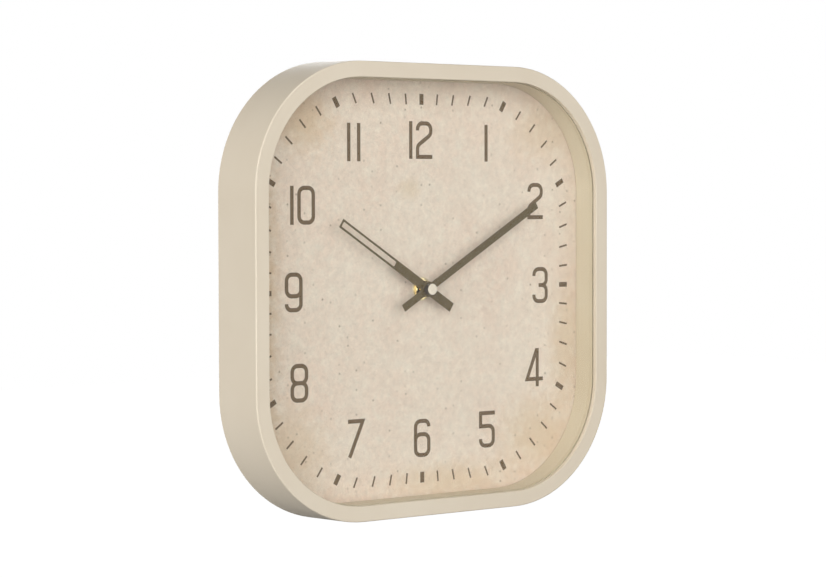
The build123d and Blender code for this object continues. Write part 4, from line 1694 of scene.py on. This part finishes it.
@dataclass
class Studio:
    """Plain pale floor, soft light and the camera.

    Attributes:
        site: Where the dial is.
        low: The object's lowest point, in metres.
        azimuth: Degrees that the camera stands left of straight in front.
        elevation: Degrees above level.
        roll: Degrees of tilt, clockwise negative.
        distance: Metres from camera to aim.
        aim: What it aims at, in metres right of and above the dial's centre.
        lens: Focal length in millimetres.
        sensor: Width of the sensor in millimetres.
        view_end: Metres to the farthest thing that the camera shows.
        floor_drop: Metres from the object's lowest point to the floor.
        floor_half: Half of the floor's width in metres.
        floor_colour: Colour of the floor as the object's light and mirrors see it.
        lamp_distance: Metres from the dial to each lamp.
        ambient: Strength of the even light from all round.
    """

    site: Site
    low: float
    azimuth: float = 38.373
    elevation: float = 2.115
    roll: float = -0.127
    distance: float = 1.9311
    aim: tuple[float, float] = (-0.0081, 0.00002)
    lens: float = 108.22
    sensor: float = 36.0
    view_end: float = 50.0
    floor_drop: float = 1.2
    floor_half: float = 15.0
    floor_colour: str = "#909090"
    lamp_distance: float = 5.0
    ambient: float = 0.06

    def build(self) -> None:
        """Make the camera, the floor, the lamps and the world, and set the view's colours."""
        for make in (self.camera, self.floor, self.lamps, self.world):
            make()
        bpy.context.scene.view_settings.view_transform = "Standard"

    def direction(self, azimuth: float, elevation: float) -> Vector:
        """Point from the dial to a place.

        Args:
            azimuth: Degrees left of straight in front.
            elevation: Degrees above level.

        Returns:
            The way there, one metre long.
        """
        turn, rise = math.radians(azimuth), math.radians(elevation)
        level = math.cos(rise)
        return Vector((-math.sin(turn) * level, -math.cos(turn) * level, math.sin(rise)))

    def camera(self) -> None:
        """Place the camera and make it the scene's."""
        centre = self.site.centre
        target = Vector((centre.x + self.aim[0], self.site.face, centre.y + self.aim[1]))
        back = self.direction(self.azimuth, self.elevation)
        level = (-back).cross(Vector((0, 0, 1))).normalized()
        rise = level.cross(-back)
        tilt = math.radians(self.roll)
        right = level * math.cos(tilt) + rise * math.sin(tilt)
        up = rise * math.cos(tilt) - level * math.sin(tilt)
        data = bpy.data.cameras.new("camera")
        data.lens = self.lens
        data.sensor_width = self.sensor
        data.clip_end = self.view_end
        eye = new_object("camera", data)
        turn = Matrix((right, up, back)).transposed().to_4x4()
        eye.matrix_world = Matrix.Translation(target + back * self.distance) @ turn
        bpy.context.scene.camera = eye

    def floor(self) -> None:
        """Make a wide floor that shows white and keeps the object's shadow."""
        paint = bpy.data.materials.new("floor_paint")
        paint.use_nodes = True
        tree = paint.node_tree
        tree.nodes.clear()
        matt = add_node(tree, "ShaderNodeBsdfDiffuse", {"Color": linear(self.floor_colour)}).outputs[0]
        glow = add_node(tree, "ShaderNodeEmission", {"Color": WHITE, "Strength": 1.0}).outputs[0]
        both = add_node(tree, "ShaderNodeAddShader", {0: matt, 1: glow}).outputs[0]
        seen = either_ray(tree, "Is Camera Ray", "Is Transmission Ray")
        shown = add_node(tree, "ShaderNodeMixShader", {0: seen, 1: matt, 2: both}).outputs[0]
        add_node(tree, "ShaderNodeOutputMaterial", {"Surface": shown})
        shape = bmesh.new()
        bmesh.ops.create_grid(shape, x_segments=8, y_segments=8, size=self.floor_half)
        bmesh.ops.translate(shape, verts=shape.verts[:], vec=(0, 0, self.low - self.floor_drop))
        finished_object("floor", shape, paint)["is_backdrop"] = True

    def lamps(self) -> None:
        """Hang the soft lamps round the dial."""
        middle = Vector((self.site.centre.x, self.site.face, self.site.centre.y))
        for lamp in Lamp:
            azimuth, elevation, width, height, power = lamp.value
            data = bpy.data.lights.new(lamp.name.lower(), "AREA")
            data.shape = "RECTANGLE"
            data.size, data.size_y, data.energy = width, height, power
            back = self.direction(azimuth, elevation)
            turn = back.to_track_quat("Z", "Y").to_matrix().to_4x4()
            thing = new_object(lamp.name.lower(), data)
            thing.visible_camera = False
            thing.visible_transmission = lamp is not Lamp.BACK
            thing.visible_glossy = lamp is not Lamp.FILL
            thing.matrix_world = Matrix.Translation(middle + back * self.lamp_distance) @ turn

    def world(self) -> None:
        """Light the object evenly, and show white behind it."""
        world = bpy.data.worlds.new("studio")
        bpy.context.scene.world = world
        world.use_nodes = True
        tree = world.node_tree
        tree.nodes.clear()
        seen = either_ray(tree, "Is Camera Ray", "Is Transmission Ray")
        levels = {0: seen, 1: 0.0, 2: 1.0, 3: self.ambient, 4: 1.0}
        level = add_node(tree, "ShaderNodeMapRange", levels).outputs[0]
        sky = add_node(tree, "ShaderNodeBackground", {"Color": WHITE, "Strength": level}).outputs[0]
        add_node(tree, "ShaderNodeOutputWorld", {"Surface": sky})


def plain(box: Any) -> list[list[float]]:
    """Return a box's corners as plain lists of numbers."""
    return [[float(value) for value in corner] for corner in box]


def main() -> None:
    """Build the scene and report each piece."""
    logging.basicConfig(level=logging.INFO, format="%(name)s: %(message)s")
    cad_box = plain(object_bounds())
    site = Site.read()
    parts = [kind(site) for kind in (Case, Dial, Fixings, DialFastening, Movement, Hands)]
    for part in parts:
        part.build()
        LOG.info("%s is ready", type(part).__name__)
    bare = set(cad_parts).difference(*(part.nodes() for part in parts))
    if bare:
        raise LookupError(f"no finish for {sorted(bare)}")
    Studio(site, cad_box[0][2]).build()
    bpy.context.view_layer.update()
    json.dumps({"cad": cad_box, "visual": plain(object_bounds())})


if __name__ == "__main__":
    main()
